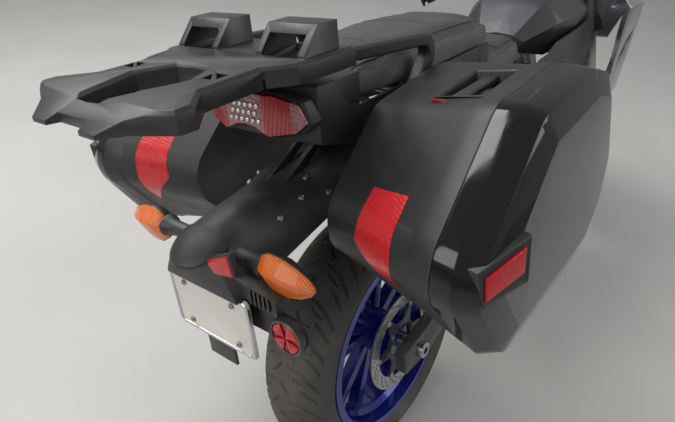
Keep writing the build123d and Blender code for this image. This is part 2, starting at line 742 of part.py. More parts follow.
# Luggage rack with grab rails and two raised loops
rack_half = [(-541, 0), (-541, 32), (-556, 38), (-556, 70), (-530, 92), (-502, 148), (-478, 150), (-437, 110),
             (-335, 108), (-300, 140), (-190, 150), (-190, 96), (-196, 40), (-196, 0)]
rack_hole = [(-519, 0), (-517, 24), (-415, 58), (-362, 34), (-358, 0)]
rack_pocket = [(-516, 98), (-496, 138), (-482, 136), (-444, 102), (-350, 100), (-300, 128), (-300, 70),
               (-360, 48), (-415, 72), (-500, 44)]
# x and y of the six corners of a pair of strap holes, parted by a slanting rib
strap_holes = ([(-403, -69), (-381, -66), (-402, -88)], [(-376, -68), (-376, -93), (-398, -93)],
               [(-403, 98), (-385, 103), (-403, 76)], [(-380, 101), (-378, 82), (-398, 76)])
rail_bar = 26
arch_wall = 12
with BuildPart() as luggage_rack:
    slab(Plane.XY.offset(rack_top - rack_depth), mirrored(rack_half), rack_depth)
    slab(Plane.XY.offset(rack_top - rack_depth - 1), mirrored(rack_hole), rack_depth + 2, Mode.SUBTRACT)
    chamfer(luggage_rack.faces().sort_by(Axis.Z)[-1].edges(), 5)
    for points in strap_holes:
        slab(Plane.XY.offset(rack_top - rack_depth - 1), points, rack_depth + 2, Mode.SUBTRACT)
    for side in (-1, 1):
        slab(Plane.XY.offset(rack_top - rack_depth - 1), [(x, side * y) for x, y in rack_pocket],
             rack_depth - rack_skin + 1, Mode.SUBTRACT)
        # Rear edges slope down to the tips
        slope = Plane(origin=(-508, side * 60, rack_top), x_dir=(0, 1, 0), z_dir=(-0.42, 0, 0.9))
        slab(slope, [(-62, -20), (62, -20), (62, 60), (-62, 60)], 30, Mode.SUBTRACT)
        low, high = sorted((side * 41, side * 133))
        slab(Plane.YZ.offset(-280),
             [(low, rack_top - 8), (low, arch_top), (high, arch_top), (high, rack_top - 8)], 75)
        slab(Plane.YZ.offset(-281),
             [(low + arch_wall, rack_top - 9), (low + arch_wall, arch_top - arch_wall),
              (high - arch_wall, arch_top - arch_wall), (high - arch_wall, rack_top - 9)], 77, Mode.SUBTRACT)
        side_slab([(-281, rack_top + 2), (-281, arch_top + 1), (-246, arch_top + 1)], low - 1, high + 1,
                  Mode.SUBTRACT)
        # Grab rail: a flat bar that runs forward beside the seat and bends back down to its foot
        rail = [Vector(-200, side * 122, 1022), Vector(48, side * 143, 1003), Vector(-14, side * 131.6, 912)]
        across = (rail[1] - rail[0]).cross(rail[2] - rail[1]).normalized()
        with BuildLine() as route:
            FilletPolyline(*rail, radius=26)
        with BuildSketch(Plane(origin=rail[0], x_dir=across, z_dir=route.line % 0)) as section:
            RectangleRounded(rail_bar, 22, 5)
        sweep(section.sketch, path=route.line)
        solid_bar((-16, side * (cowl_half + seat_gap), 912), (-16, side * (cowl_half + 24), 912), 15)
        solid_bar((-206, side * 40, cowl_top + seat_gap), (-206, side * 40, 1012), 10)
keep("luggage_rack", luggage_rack)

# Side cases: an open shell and a lid, hinged along the seam's lower edge
# Columns: x and z at the inner wall, at the seam and on the lid's face
case_table = (
    ((120, 948), (148, 945), (112, 940)),
    ((20, 956), (30, 978), (20, 968)),
    ((-150, 940), (-180, 974), (-165, 958)),
    ((-290, 820), (-338, 842), (-318, 832)),
    ((-285, 756), (-352, 786), (-330, 782)),
    ((-205, 668), (-256, 642), (-238, 660)),
    ((60, 662), (84, 632), (70, 652)),
    ((135, 712), (176, 700), (152, 706)),
    ((158, 800), (198, 800), (174, 800)),
)
seam_low_back = Vector(-256, 0, 642)
seam_low_front = Vector(84, 0, 632)
hinge_axis = (seam_low_front - seam_low_back).normalized()
hinge_down = Vector(hinge_axis.Z, 0, -hinge_axis.X)


def case_section(share, y, inset, column=0):
    """One rounded outline of the right case, so far along from one column of the table to the next."""
    points = []
    for row in case_table:
        (near_x, near_z), (far_x, far_z) = row[column], row[min(column + 1, 2)]
        points.append((near_x + (far_x - near_x) * share, near_z + (far_z - near_z) * share))
    with BuildSketch(Plane.XZ.offset(y)) as section:
        with BuildLine():
            Polyline(*points, close=True)
        make_face()
        fillet(section.vertices(), case_corner)
        if inset:
            offset(amount=-inset)
    return section.sketch


hinge_spots = (-90, 70)
knuckle_half = 16
hinge_middle = (seam_low_back + seam_low_front) / 2 + hinge_down * (hinge_drop + band_step)
hinge_middle = hinge_middle - Vector(0, case_seam_y, 0)


def hinge_point(reach):
    """A point along the right lid's hinge line."""
    return tuple(hinge_middle + hinge_axis * reach)


def add_knuckle(reach, half, across, rise):
    """Add a hinge knuckle and the web that joins it to a wall above and beside it."""
    solid_bar(hinge_point(reach - half), hinge_point(reach + half), hinge_radius)
    away = 1 if across > 0 else -1
    with BuildSketch(Plane(origin=hinge_point(reach), x_dir=(0, 1, 0), z_dir=hinge_axis)) as web:
        with BuildLine():
            Polyline((0, -hinge_radius), (across, rise - 8), (across, rise), (3 * away, 12), (away, 4),
                     (-4 * away, 3), close=True)
        make_face()
    extrude(web.sketch, amount=half, both=True)


band_share = (case_band_y - case_inner_y) / (case_seam_y - case_inner_y)
with BuildPart() as case_shell_right:
    loft([case_section(0, case_inner_y, 0), case_section(band_share, case_band_y, 0)], ruled=True)
    loft([case_section(band_share, case_band_y, 0), case_section(band_share, case_band_y + 4, -band_step),
          case_section(1, case_seam_y, -band_step)], ruled=True)
    loft([case_section(0, case_inner_y + case_wall, case_wall), case_section(1, case_seam_y, case_wall)],
         ruled=True, mode=Mode.SUBTRACT)
    for spot in hinge_spots:
        for reach in (-knuckle_half - 10, knuckle_half + 10):
            add_knuckle(spot + reach, 9.5, 24, 12)
        solid_bar(hinge_point(spot - knuckle_half - 15), hinge_point(spot + knuckle_half + 15), hinge_pin)
keep("case_shell_right", case_shell_right)

# Columns: share from the seam to the lid's face, Y, how far inside the outline
lid_table = ((0, case_seam_y + lid_gap, -band_step), (0.2, case_rim_y, 0), (0.8, case_dome_y, 12),
             (1, case_outer_y, 46))
with BuildPart() as case_lid_right:
    loft([case_section(share, y, inset, 1) for share, y, inset in lid_table], ruled=True)
    loft([case_section(share, y - (case_wall if y > case_rim_y else 0), inset + case_wall, 1)
          for share, y, inset in lid_table], ruled=True, mode=Mode.SUBTRACT)
    for spot in hinge_spots:
        add_knuckle(spot, knuckle_half, -22, 17)
        with BuildSketch(Plane(origin=hinge_point(spot - knuckle_half - 1), z_dir=hinge_axis)) as bore:
            Circle(hinge_pin + axle_clearance)
        extrude(bore.sketch, amount=2 * knuckle_half + 2, mode=Mode.SUBTRACT)
keep("case_lid_right", case_lid_right)

with BuildPart() as case_shell_left:
    mirror(case_shell_right.part, about=Plane.XZ)
keep("case_shell_left", case_shell_left)

with BuildPart() as case_lid_left:
    mirror(case_lid_right.part, about=Plane.XZ)
keep("case_lid_left", case_lid_left)

with BuildPart() as case_mounts:
    for side in (-1, 1):
        inner, outer = sorted((side * (cowl_half + 0.3), side * (case_inner_y - 0.3)))
        side_slab([(60, 872), (60, 906), (110, 906), (110, 872)], inner, outer)
        side_slab([(-110, 880), (-110, 906), (-60, 906), (-60, 880)], inner, outer)
keep("case_mounts", case_mounts)

# Footrests: rider's on the pivot plates, passenger's on hangers
with BuildPart() as footrests:
    for side in (-1, 1):
        inner, outer = sorted((side * (spar_outer + 0.3), side * (spar_outer + 10)))
        side_slab([(440, 392), (440, 420), (530, 520), (590, 520), (590, 440), (500, 392)], inner, outer)
        solid_bar((470, side * (spar_outer + 4), 402), (470, side * 250, 398), 13)
        inner, outer = sorted((side * (spar_outer + 0.3), side * (spar_outer + 10)))
        side_slab([(240, 500), (240, 530), (520, 600), (560, 560), (560, 530), (270, 500)], inner, outer)
        solid_bar((262, side * (spar_outer + 4), 514), (262, side * 240, 512), 12)
keep("footrests", footrests)

# Fairing: a creased skin, parted into the nose and two side cowls
# Columns: X from the front axle, top, then Y and Z of the shoulder, the waist and the lower edge
fairing_table = (
    (-362, 1000, 166, 984, 238, 884, 196, 566),
    (-200, 1016, 170, 998, 242, 876, 200, 596),
    (-60, 1004, 128, 990, 198, 886, 122, 716),
    (30, 962, 84, 948, 134, 874, 64, 776),
    (86, 900, 26, 890, 44, 862, 24, 822),
)


def fairing_stations(inset):
    """The fairing's stations, with its nose drawn in by the inset."""
    stations = []
    for reach, top, shoulder_y, shoulder_z, waist_y, waist_z, low_y, low_z in fairing_table:
        x = wheelbase + reach - (inset if reach == fairing_table[-1][0] else 0)
        half_section = [(0, top), (shoulder_y, shoulder_z), (waist_y, waist_z), (low_y, low_z), (0, low_z)]
        stations.append((x, half_section))
    return stations


def add_fairing(inset, mode=Mode.ADD):
    """Add or cut the solid form of the fairing, so far inside its skin."""
    loft(cross_sections(fairing_stations(inset), inset), ruled=True, mode=mode)


lamp_eye = [(20, 852), (26, 884), (112, 928), (122, 884)]
nose_split = wheelbase - 208
fairing_back = wheelbase - 440
fairing_tip = wheelbase + 160


def add_eyes(grow, mode):
    """Add or cut the two headlamp shapes, right through the nose's skin."""
    for side in (-1, 1):
        with BuildSketch(Plane.YZ.offset(wheelbase - 70)) as eye:
            with BuildLine():
                Polyline(*[(side * y, z) for y, z in lamp_eye], close=True)
            make_face()
            if grow:
                offset(amount=grow)
        extrude(eye.sketch, amount=240, mode=mode)


# Fairing stay: from the steering head, between the fork legs, out to the nose's skin
stay_height = (lower_yoke + upper_yoke) / 2
stay_reach = 150
with BuildPart() as fairing_stay:
    stay_end = Vector(*fork_point(stay_reach, 0, stay_height))
    solid_bar(fork_point(head_radius + seat_gap, 0, stay_height), tuple(stay_end), 14)
    solid_bar((stay_end.X, 260, stay_end.Z), (stay_end.X, -260, stay_end.Z), 9)
    add_fairing(panel + seat_gap, Mode.INTERSECT)
keep("fairing_stay", fairing_stay)

with BuildPart() as nose_cowl:
    add_fairing(0)
    add_fairing(panel, Mode.SUBTRACT)
    side_slab([(fairing_back, 500), (fairing_back, 1100), (nose_split, 1100), (nose_split + 60, 500)],
              -300, 300, Mode.SUBTRACT)
    # Room for the fork below and for the screen's foot above
    slab(Plane.XY.offset(500), [(fairing_back, -150), (fairing_back, 150), (wheelbase - 44, 150),
                                (wheelbase - 44, -150)], 310, Mode.SUBTRACT)
    add_eyes(0.6, Mode.SUBTRACT)
    side_slab([(wheelbase + 20, 790), (wheelbase + 20, 836), (wheelbase + 120, 836), (wheelbase + 120, 790)],
              -18, 18, Mode.SUBTRACT)
keep("nose_cowl", nose_cowl)

with BuildPart() as side_cowls:
    add_fairing(0)
    add_fairing(panel, Mode.SUBTRACT)
    side_slab([(nose_split - 0.5, 1100), (fairing_tip, 1100), (fairing_tip, 500), (nose_split + 59.5, 500)],
              -300, 300, Mode.SUBTRACT)
    slab(Plane.XY.offset(500),
         [(fairing_back, -150), (fairing_back, 150), (fairing_tip, 150), (fairing_tip, -150)],
         700, Mode.SUBTRACT)
    slab(Plane.XY.offset(952),
         [(fairing_back, -300), (fairing_back, 300), (fairing_tip, 300), (fairing_tip, -300)],
         200, Mode.SUBTRACT)
    # Air outlets, and the lower rear corner cut back
    side_slab([(wheelbase - 330, 700), (wheelbase - 300, 770), (wheelbase - 226, 800), (wheelbase - 236, 745)],
              -300, 300, Mode.SUBTRACT)
    side_slab([(fairing_back, 500), (fairing_back, 720), (wheelbase - 362, 720), (wheelbase - 330, 560),
               (wheelbase - 330, 500)], -300, 300, Mode.SUBTRACT)
    # Side covers between tank and spars
    cover = [(575, 716), (575, 836), (640, 838), (700, 856), (tank_front - 140, 862), (tank_front - 10, 872),
             (tank_front + 26, 846), (spar_nose[0], spar_nose[1] - 20), (spar_crest[0], spar_crest[1] - 20),
             (700, 696), (632, 640)]
    for side in (-1, 1):
        inner, outer = sorted((side * (spar_outer + seat_gap), side * (spar_outer + 8)))
        side_slab(cover, inner, outer)
keep("side_cowls", side_cowls)

with BuildPart() as headlamps:
    add_eyes(0, Mode.ADD)
    add_fairing(0, Mode.INTERSECT)
    add_fairing(panel + 10, Mode.SUBTRACT)
keep("headlamps", headlamps)

# X from the front axle, Z, half width, bulge forward
screen_table = ((-128, 970, 150, 60), (-226, 1190, 132, 52), (-304, 1344, 96, 34))


def add_screen(back, mode):
    """Add, cut or keep what lies so far behind the screen's front face."""
    screen_sections = []
    for reach, z, half, bulge in screen_table:
        x = wheelbase + reach - back
        with BuildSketch(Plane.XY.offset(z)) as section:
            with BuildLine():
                ThreePointArc((x - bulge, -half), (x, 0), (x - bulge, half))
                Polyline((x - bulge, half), (x - 150 + back, half), (x - 150 + back, -half), (x - bulge, -half))
            make_face()
        screen_sections.append(section.sketch)
    loft(screen_sections, ruled=True, mode=mode)


with BuildPart() as windscreen:
    add_screen(0, Mode.ADD)
    add_screen(panel, Mode.SUBTRACT)
    add_fairing(-seat_gap, Mode.SUBTRACT)
keep("windscreen", windscreen)

with BuildPart() as instruments:
    with BuildSketch(Plane(origin=(wheelbase - 244, 0, 1066), x_dir=(0, 1, 0), z_dir=(-0.8, 0, 0.6))) as dash:
        RectangleRounded(190, 84, 14)
    extrude(dash.sketch, amount=-26)
    add_screen(panel + seat_gap, Mode.INTERSECT)
keep("instruments", instruments)


# Fork, yokes and bars, in the fork's own plane
bar_radius = 11
bar_points = [(-70, -405, 846), (-46, -250, 862), (-8, -110, 850), (-8, 110, 850), (-46, 250, 862),
              (-70, 405, 846)]

with BuildPart() as fork_legs:
    for side in (-1, 1):
        solid_bar(fork_point(fork_offset, side * leg_spread, leg_bottom),
                  fork_point(fork_offset, side * leg_spread, 330), slider_radius)
        solid_bar(fork_point(fork_offset, side * leg_spread, 250),
                  fork_point(fork_offset, side * leg_spread, leg_top), leg_radius)
        solid_bar(fork_point(fork_offset, side * (leg_spread - leg_radius), 0),
                  fork_point(fork_offset, side * (leg_spread + leg_radius), 0), 30)
        inner, outer = sorted((side * (leg_spread - leg_radius), side * leg_spread))
        side_slab([(wheelbase - 14, front_radius + 40), (wheelbase - 52, front_radius + 58),
                   (wheelbase - 106, front_radius + 104), (wheelbase - 60, front_radius + 150)], inner, outer)
    with BuildSketch(Plane(origin=(wheelbase, 200, front_radius), z_dir=(0, -1, 0))) as bore:
        Circle(axle_radius + axle_clearance)
    extrude(bore.sketch, amount=400, mode=Mode.SUBTRACT)
keep("fork_legs", fork_legs, front_place)

with BuildPart() as fork_yokes:
    yoke = mirrored([(-26, 0), (-26, 34), (2, leg_spread + 34), (fork_offset + 34, leg_spread + 34),
                     (fork_offset + 34, leg_spread - 20), (30, 30), (30, 0)])
    for height in (lower_yoke, upper_yoke):
        level = Plane(origin=fork.from_local_coords((0, 0, height - yoke_depth / 2)), x_dir=steer_forward,
                      z_dir=steer_up)
        slab(level, yoke, yoke_depth)
    with BuildSketch(fork.offset(lower_yoke)) as stem:
        Circle(stem_radius)
    extrude(stem.sketch, amount=upper_yoke - lower_yoke)
    with BuildSketch(fork.offset(lower_yoke - yoke_depth)) as holes:
        with Locations((fork_offset, leg_spread), (fork_offset, -leg_spread)):
            Circle(leg_radius + axle_clearance)
    extrude(holes.sketch, amount=400, mode=Mode.SUBTRACT)
    for side in (-1, 1):
        solid_bar(fork_point(-8, side * 50, upper_yoke),
                  fork_point(-8, side * 50, bar_points[2][2] - bar_radius - seat_gap), 15)
keep("fork_yokes", fork_yokes, front_place)

def along_bar(side, distance):
    """A point on one end run of the bar, so far in from its end."""
    end = Vector(*bar_points[-1])
    inner = Vector(*bar_points[-2])
    spot = end + (inner - end).normalized() * distance
    return fork_point(spot.X, side * spot.Y, spot.Z)


def bore_for_bar(side):
    """Cut the handlebar's room out of what clamps onto one of its ends."""
    inward = Vector(*along_bar(side, 160)) - Vector(*along_bar(side, 0))
    with BuildSketch(Plane(origin=along_bar(side, 0), z_dir=inward)) as bore:
        Circle(bar_radius + axle_clearance)
    extrude(bore.sketch, amount=158, mode=Mode.SUBTRACT)


with BuildPart() as levers:
    for side in (-1, 1):
        solid_bar(along_bar(side, 122.6), along_bar(side, 133), 18)
        bent_tube([fork_point(-40, side * 280, 858), fork_point(4, side * 281, 856),
                   fork_point(-2, side * 384, 852)], 24, 5.5)

with BuildPart() as handlebar:
    bent_tube([fork_point(*point) for point in bar_points], 45, bar_radius)
    add(levers.part)
keep("handlebar", handlebar, front_place)

with BuildPart() as grips:
    for side in (-1, 1):
        solid_bar(along_bar(side, -12), along_bar(side, 122), 17)
        outward = Vector(*along_bar(side, 0)) - Vector(*along_bar(side, 160))
        with BuildSketch(Plane(origin=along_bar(side, 123), z_dir=outward)) as bore:
            Circle(bar_radius + axle_clearance)
        extrude(bore.sketch, amount=123, mode=Mode.SUBTRACT)
keep("grips", grips, front_place)

with BuildPart() as hand_guards:
    for side in (-1, 1):
        # forward, beside, height of each station and half height there
        guard_table = ((-86, 428, 844, 15), (-6, 424, 852, 34), (40, 350, 858, 40), (52, 282, 858, 26))
        spots = [Vector(*fork_point(x, side * y, z)) for x, y, z, half in guard_table]
        guard_sections = []
        for place, row in enumerate(guard_table):
            along = spots[min(place + 1, 3)] - spots[max(place - 1, 0)]
            with BuildSketch(Plane(origin=spots[place], x_dir=steer_up, z_dir=along)) as section:
                Rectangle(2 * row[3], 7)
            guard_sections.append(section.sketch)
        loft(guard_sections, ruled=True)
        solid_bar(along_bar(side, -12 - seat_gap), along_bar(side, -30), 8)
keep("hand_guards", hand_guards, front_place)

with BuildPart() as mirrors:
    for side in (-1, 1):
        solid_bar(along_bar(side, 137), along_bar(side, 146), 16)
        bent_tube([fork_point(-48, side * 265, 873), fork_point(-14, side * 268, 934),
                   fork_point(6, side * 340, 980)], 40, 6)
        bore_for_bar(side)
        glass = Plane(origin=fork_point(8, side * 360, 990), x_dir=(0, side, 0.12), z_dir=(1, 0, 0.1))
        with BuildSketch(glass) as head:
            RectangleRounded(170, 92, 30)
        extrude(head.sketch, amount=30)
keep("mirrors", mirrors, front_place)

fender_gap = 14
fender_front = 36
fender_back = 84
with BuildPart() as front_fender:
    outer = front_radius + fender_gap
    ahead = radians(fender_front)
    plane = Plane(origin=front_axle_at, x_dir=(0, 1, 0), z_dir=(cos(ahead), 0, -sin(ahead)))
    with BuildSketch(plane) as section:
        with BuildLine():
            Line((-70, 262), (-66, 262))
            ThreePointArc((-66, 262), (0, outer), (66, 262))
            Line((66, 262), (70, 262))
            ThreePointArc((70, 262), (0, outer + panel), (-70, 262))
        make_face()
    revolve(section.sketch, axis=Axis(front_axle_at, (0, -1, 0)), revolution_arc=fender_front + fender_back)
    for side in (-1, 1):
        # A tab out to the fork leg
        corners = [fork_point(fork_offset + reach, 0, height) for reach, height in
                   ((-14, 263), (14, 263), (14, 277), (-14, 277))]
        inner, outer = sorted((side * 66.2, side * (leg_spread - leg_radius - seat_gap)))
        side_slab([(x, z) for x, y, z in corners], inner, outer)
keep("front_fender", front_fender, front_place)

with BuildPart() as front_calipers:
    for side in (-1, 1):
        inner, outer = sorted((side * 56, side * (leg_spread - leg_radius - 0.3)))
        with BuildSketch(Plane(origin=(wheelbase - 92, outer, front_radius + 92), x_dir=(1, 0, 0),
                               z_dir=(0, -1, 0))) as body:
            RectangleRounded(60, 104, 12, rotation=45)
        extrude(body.sketch, amount=outer - inner)
        slot_face = Plane(origin=(wheelbase, side * front_disc_y + 4, front_radius), x_dir=(1, 0, 0),
                          z_dir=(0, -1, 0))
        with BuildSketch(slot_face) as slot:
            Circle(front_disc_radius + 3)
        extrude(slot.sketch, amount=8, mode=Mode.SUBTRACT)
keep("front_calipers", front_calipers, front_place)

# Set the whole machine down with its box's bottom centre at the origin, name and write each piece
standing = [place * piece.part for _, piece, place in pieces]
box = Compound(children=standing).bounding_box()
origin_shift = Pos(-(box.min.X + box.max.X) / 2, -(box.min.Y + box.max.Y) / 2, -box.min.Z)
os.makedirs("parts", exist_ok=True)
for name, piece, place in pieces:
    piece.part = origin_shift * place * piece.part
    piece.part.label = name
    export_step(piece.part, f"parts/{name}.step")
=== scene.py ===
"""Looks of a sport touring motorcycle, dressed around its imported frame."""
import json
import math

import bmesh
import bpy
import numpy as np
from mathutils import Matrix, Vector
from mathutils.bvhtree import BVHTree

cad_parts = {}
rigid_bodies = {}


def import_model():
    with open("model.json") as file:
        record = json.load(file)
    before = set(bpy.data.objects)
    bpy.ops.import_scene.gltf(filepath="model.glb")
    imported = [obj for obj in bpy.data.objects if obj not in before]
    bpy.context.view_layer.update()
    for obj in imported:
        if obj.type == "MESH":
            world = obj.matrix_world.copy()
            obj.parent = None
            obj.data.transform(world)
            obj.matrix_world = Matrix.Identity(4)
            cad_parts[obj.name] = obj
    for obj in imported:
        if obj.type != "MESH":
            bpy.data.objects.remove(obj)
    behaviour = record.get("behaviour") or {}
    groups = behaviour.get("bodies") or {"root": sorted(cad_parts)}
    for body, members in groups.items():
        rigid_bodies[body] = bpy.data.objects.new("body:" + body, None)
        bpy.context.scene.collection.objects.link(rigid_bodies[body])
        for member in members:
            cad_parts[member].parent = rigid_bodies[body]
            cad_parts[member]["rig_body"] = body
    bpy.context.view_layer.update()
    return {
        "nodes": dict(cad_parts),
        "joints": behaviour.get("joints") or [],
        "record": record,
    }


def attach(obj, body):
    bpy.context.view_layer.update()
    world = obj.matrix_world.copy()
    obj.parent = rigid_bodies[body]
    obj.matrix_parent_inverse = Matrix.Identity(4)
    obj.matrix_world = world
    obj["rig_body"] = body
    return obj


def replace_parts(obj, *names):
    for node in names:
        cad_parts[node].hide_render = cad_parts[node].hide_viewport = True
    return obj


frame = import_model()
nodes = frame["nodes"]
joints = {joint["name"]: joint for joint in frame["joints"]}

# The upright machine's own axes in millimetres: X forward from the rear axle, Y left, Z up from the ground
MM = 0.001
RAKE = math.radians(24)
# How far the bars are turned to the left at rest
LOCK = math.radians(34)
TRAIL = 100
WHEELBASE = 1440
REAR_RADIUS = 315
FRONT_RADIUS = 300
REAR_CENTRE = Vector((0, 0, REAR_RADIUS))
FRONT_CENTRE = Vector((WHEELBASE, 0, FRONT_RADIUS))
# A height above the seats, cases and fender, from which plumb lines drop to them
SKY = 1200
SIDES = ((-1, "right"), (1, "left"))
BACKWARD = Vector((-1, 0, 0))


def columns(x, y, z, origin):
    """Matrix with these axes and origin."""
    return Matrix.Translation(origin) @ Matrix((x, y, z)).transposed().to_4x4()


left = Vector(joints["rear_wheel_spin"]["axis"]).normalized()
steer_up = Vector(joints["steering"]["axis"]).normalized()
steer_forward = left.cross(steer_up).normalized()
ahead = (steer_forward * math.cos(RAKE) - steer_up * math.sin(RAKE)).normalized()
above = ahead.cross(left).normalized()
rear_axle = Vector(joints["rear_wheel_spin"]["pos_m"])
upright = columns(ahead, left, above, rear_axle - above * (REAR_RADIUS * MM))
from_world = upright.inverted()
steer_at = Vector(joints["steering"]["pos_m"])
turned_bike = (Matrix.Translation(steer_at) @ Matrix.Rotation(LOCK, 4, steer_up)
               @ Matrix.Translation(-steer_at) @ upright)

# Camera, placed on the upright machine in metres
CAMERA_PLACE = Vector((-0.8157, -0.6242, 1.2031))
CAMERA_RIGHT = Vector((0.61456, -0.78516, -0.07645))
CAMERA_FORWARD = Vector((0.66728, 0.56908, -0.48050))
FOCAL_PIXELS = 542.82
PHOTO_WIDTH, PHOTO_HEIGHT = 675, 422
SENSOR = 36.0


def placed(name, data):
    """A new object in the scene."""
    made = bpy.data.objects.new(name, data)
    bpy.context.scene.collection.objects.link(made)
    return made


def add_camera():
    """The photograph's camera."""
    data = bpy.data.cameras.new("camera")
    data.sensor_width = SENSOR
    data.lens = FOCAL_PIXELS / PHOTO_WIDTH * SENSOR
    data.clip_start = 0.01
    camera = placed("camera", data)
    back = -CAMERA_FORWARD.normalized()
    right = CAMERA_RIGHT.normalized()
    camera.matrix_world = upright @ columns(right, back.cross(right), back, CAMERA_PLACE)
    bpy.context.scene.camera = camera


def add_light(name, place, target, size, power):
    """A square soft lamp aimed at a point."""
    data = bpy.data.lights.new(name, "AREA")
    data.shape = "SQUARE"
    data.size = size
    data.energy = power
    lamp = placed(name, data)
    lamp.location = place
    lamp.rotation_euler = (Vector(target) - Vector(place)).to_track_quat("-Z", "Y").to_euler()


# Places of the mix node's colour sockets, which share their names with its other kinds
MIX_SHARE, MIX_FIRST, MIX_SECOND, MIX_RESULT = 0, 6, 7, 2


class Graph:
    """A material's node tree, with short calls for its usual nodes."""

    def __init__(self, name):
        self.material = bpy.data.materials.new(name)
        self.material.use_nodes = True
        self.tree = self.material.node_tree
        self.shader = self.tree.nodes["Principled BSDF"]
        self.place = self.node("ShaderNodeTexCoord").outputs["Object"]

    def node(self, kind, **values):
        made = self.tree.nodes.new(kind)
        for key, value in values.items():
            setattr(made, key, value)
        return made

    def feed(self, socket, value):
        """Link a socket or set its value."""
        if isinstance(value, bpy.types.NodeSocket):
            self.tree.links.new(value, socket)
        else:
            socket.default_value = value

    def put(self, made, **inputs):
        """Feed inputs by name; an underscore stands for a blank."""
        for key, value in inputs.items():
            self.feed(made.inputs[key.replace("_", " ")], value)
        return made

    def noise(self, scale, detail, roughness=0.55):
        made = self.node("ShaderNodeTexNoise")
        self.put(made, Vector=self.place, Scale=scale, Detail=detail, Roughness=roughness)
        return made.outputs["Fac"]

    def ramp(self, value, low, high, start=0.0, end=1.0):
        """Map a value's range low to high onto start to end, clamped."""
        made = self.node("ShaderNodeMapRange")
        self.put(made, From_Min=low, From_Max=high, To_Min=start, To_Max=end, Value=value)
        return made.outputs["Result"]

    def patches(self, scale, detail, low=0.3, high=0.7, start=0.0, end=1.0):
        """Cloudy noise, ramped."""
        return self.ramp(self.noise(scale, detail), low, high, start, end)

    def math(self, operation, first, second):
        made = self.node("ShaderNodeMath", operation=operation)
        for socket, value in zip(made.inputs, (first, second)):
            self.feed(socket, value)
        return made.outputs[0]

    def mix(self, share, first, second):
        """Blend two colours."""
        made = self.node("ShaderNodeMix", data_type="RGBA")
        for index, value in ((MIX_SHARE, share), (MIX_FIRST, first), (MIX_SECOND, second)):
            self.feed(made.inputs[index], (*value, 1.0) if isinstance(value, tuple) else value)
        return made.outputs[MIX_RESULT]

    def bump(self, height, distance, normal=None):
        made = self.put(self.node("ShaderNodeBump"), Strength=1.0, Distance=distance, Height=height)
        if normal:
            self.put(made, Normal=normal)
        return made.outputs["Normal"]

    def bevel(self, radius):
        """The normal as it is on softly rounded edges."""
        return self.put(self.node("ShaderNodeBevel", samples=4), Radius=radius).outputs["Normal"]

    def edge(self, radius):
        """Nearly 1 on sharp edges and 0 on flats."""
        dot = self.node("ShaderNodeVectorMath", operation="DOT_PRODUCT")
        self.feed(dot.inputs[0], self.bevel(radius))
        self.feed(dot.inputs[1], self.node("ShaderNodeNewGeometry").outputs["Normal"])
        return self.ramp(dot.outputs["Value"], 0.98, 0.85)

    def top(self):
        """1 on faces that look up in the piece's own frame."""
        made = self.node("ShaderNodeSeparateXYZ")
        self.feed(made.inputs[0], self.node("ShaderNodeTexCoord").outputs["Normal"])
        return self.ramp(made.outputs["Z"], 0.2, 0.95)


def tint(color, share):
    """A colour made lighter or darker."""
    return tuple(min(1.0, c * share) for c in color)


DUST = (0.30, 0.27, 0.23)
# Radius of the sharp edges that take a paler colour: wear on the frame and engine, a painted highlight on the
# rack
WEAR_AND_HIGHLIGHT_EDGE = 0.002


def surface(name, color, roughness, metallic=0.0, coat=0.0, grain=None, dust=0.0, edge_wear_and_highlight=None, spread=0.12,
            smooth=0.0012):
    """A slightly uneven surface. grain is its texture's scale and depth in metres. Its sharp edges can take a
    paler colour: real wear on the frame and engine, a painted highlight on the rack's chamfers.
    """
    graph = Graph(name)
    base = graph.mix(graph.patches(7.0, 4.0, 0.35, 0.65), tint(color, 1 - spread), tint(color, 1 + spread))
    rough = graph.patches(23.0, 5.0, start=max(0.02, roughness - 0.06), end=roughness + 0.07)
    if dust:
        film = graph.math("MULTIPLY", graph.top(), graph.patches(11.0, 6.0, 0.40, 0.72))
        share = graph.math("MULTIPLY", film, dust)
        base = graph.mix(share, base, DUST)
        rough = graph.math("ADD", rough, graph.math("MULTIPLY", share, 0.4))
    # Paler sharp edges: real wear on the frame and engine, a painted highlight on the rack's chamfers
    if edge_wear_and_highlight:
        wear_and_highlight_share = graph.math("MULTIPLY", graph.edge(WEAR_AND_HIGHLIGHT_EDGE), graph.patches(60.0, 4.0, 0.42, 0.62))
        base = graph.mix(wear_and_highlight_share, base, edge_wear_and_highlight)
    normal = graph.bevel(smooth)
    if grain:
        scale, depth = grain
        normal = graph.bump(graph.noise(scale, 2.0, 0.6), depth, normal)
    graph.put(graph.shader, Base_Color=base, Roughness=rough, Metallic=metallic, IOR=1.5, Coat_Weight=coat,
              Coat_Roughness=0.04, Normal=normal)
    return graph.material


def glass(name, color, roughness, clear):
    """A clear or tinted moulded lens."""
    graph = Graph(name)
    tone = graph.mix(graph.patches(30.0, 3.0), tint(color, 0.9), tint(color, 1.05))
    rough = graph.patches(55.0, 4.0, start=roughness, end=roughness + 0.05)
    graph.put(graph.shader, Base_Color=tone, Roughness=rough, IOR=1.5, Transmission_Weight=clear)
    return graph.material


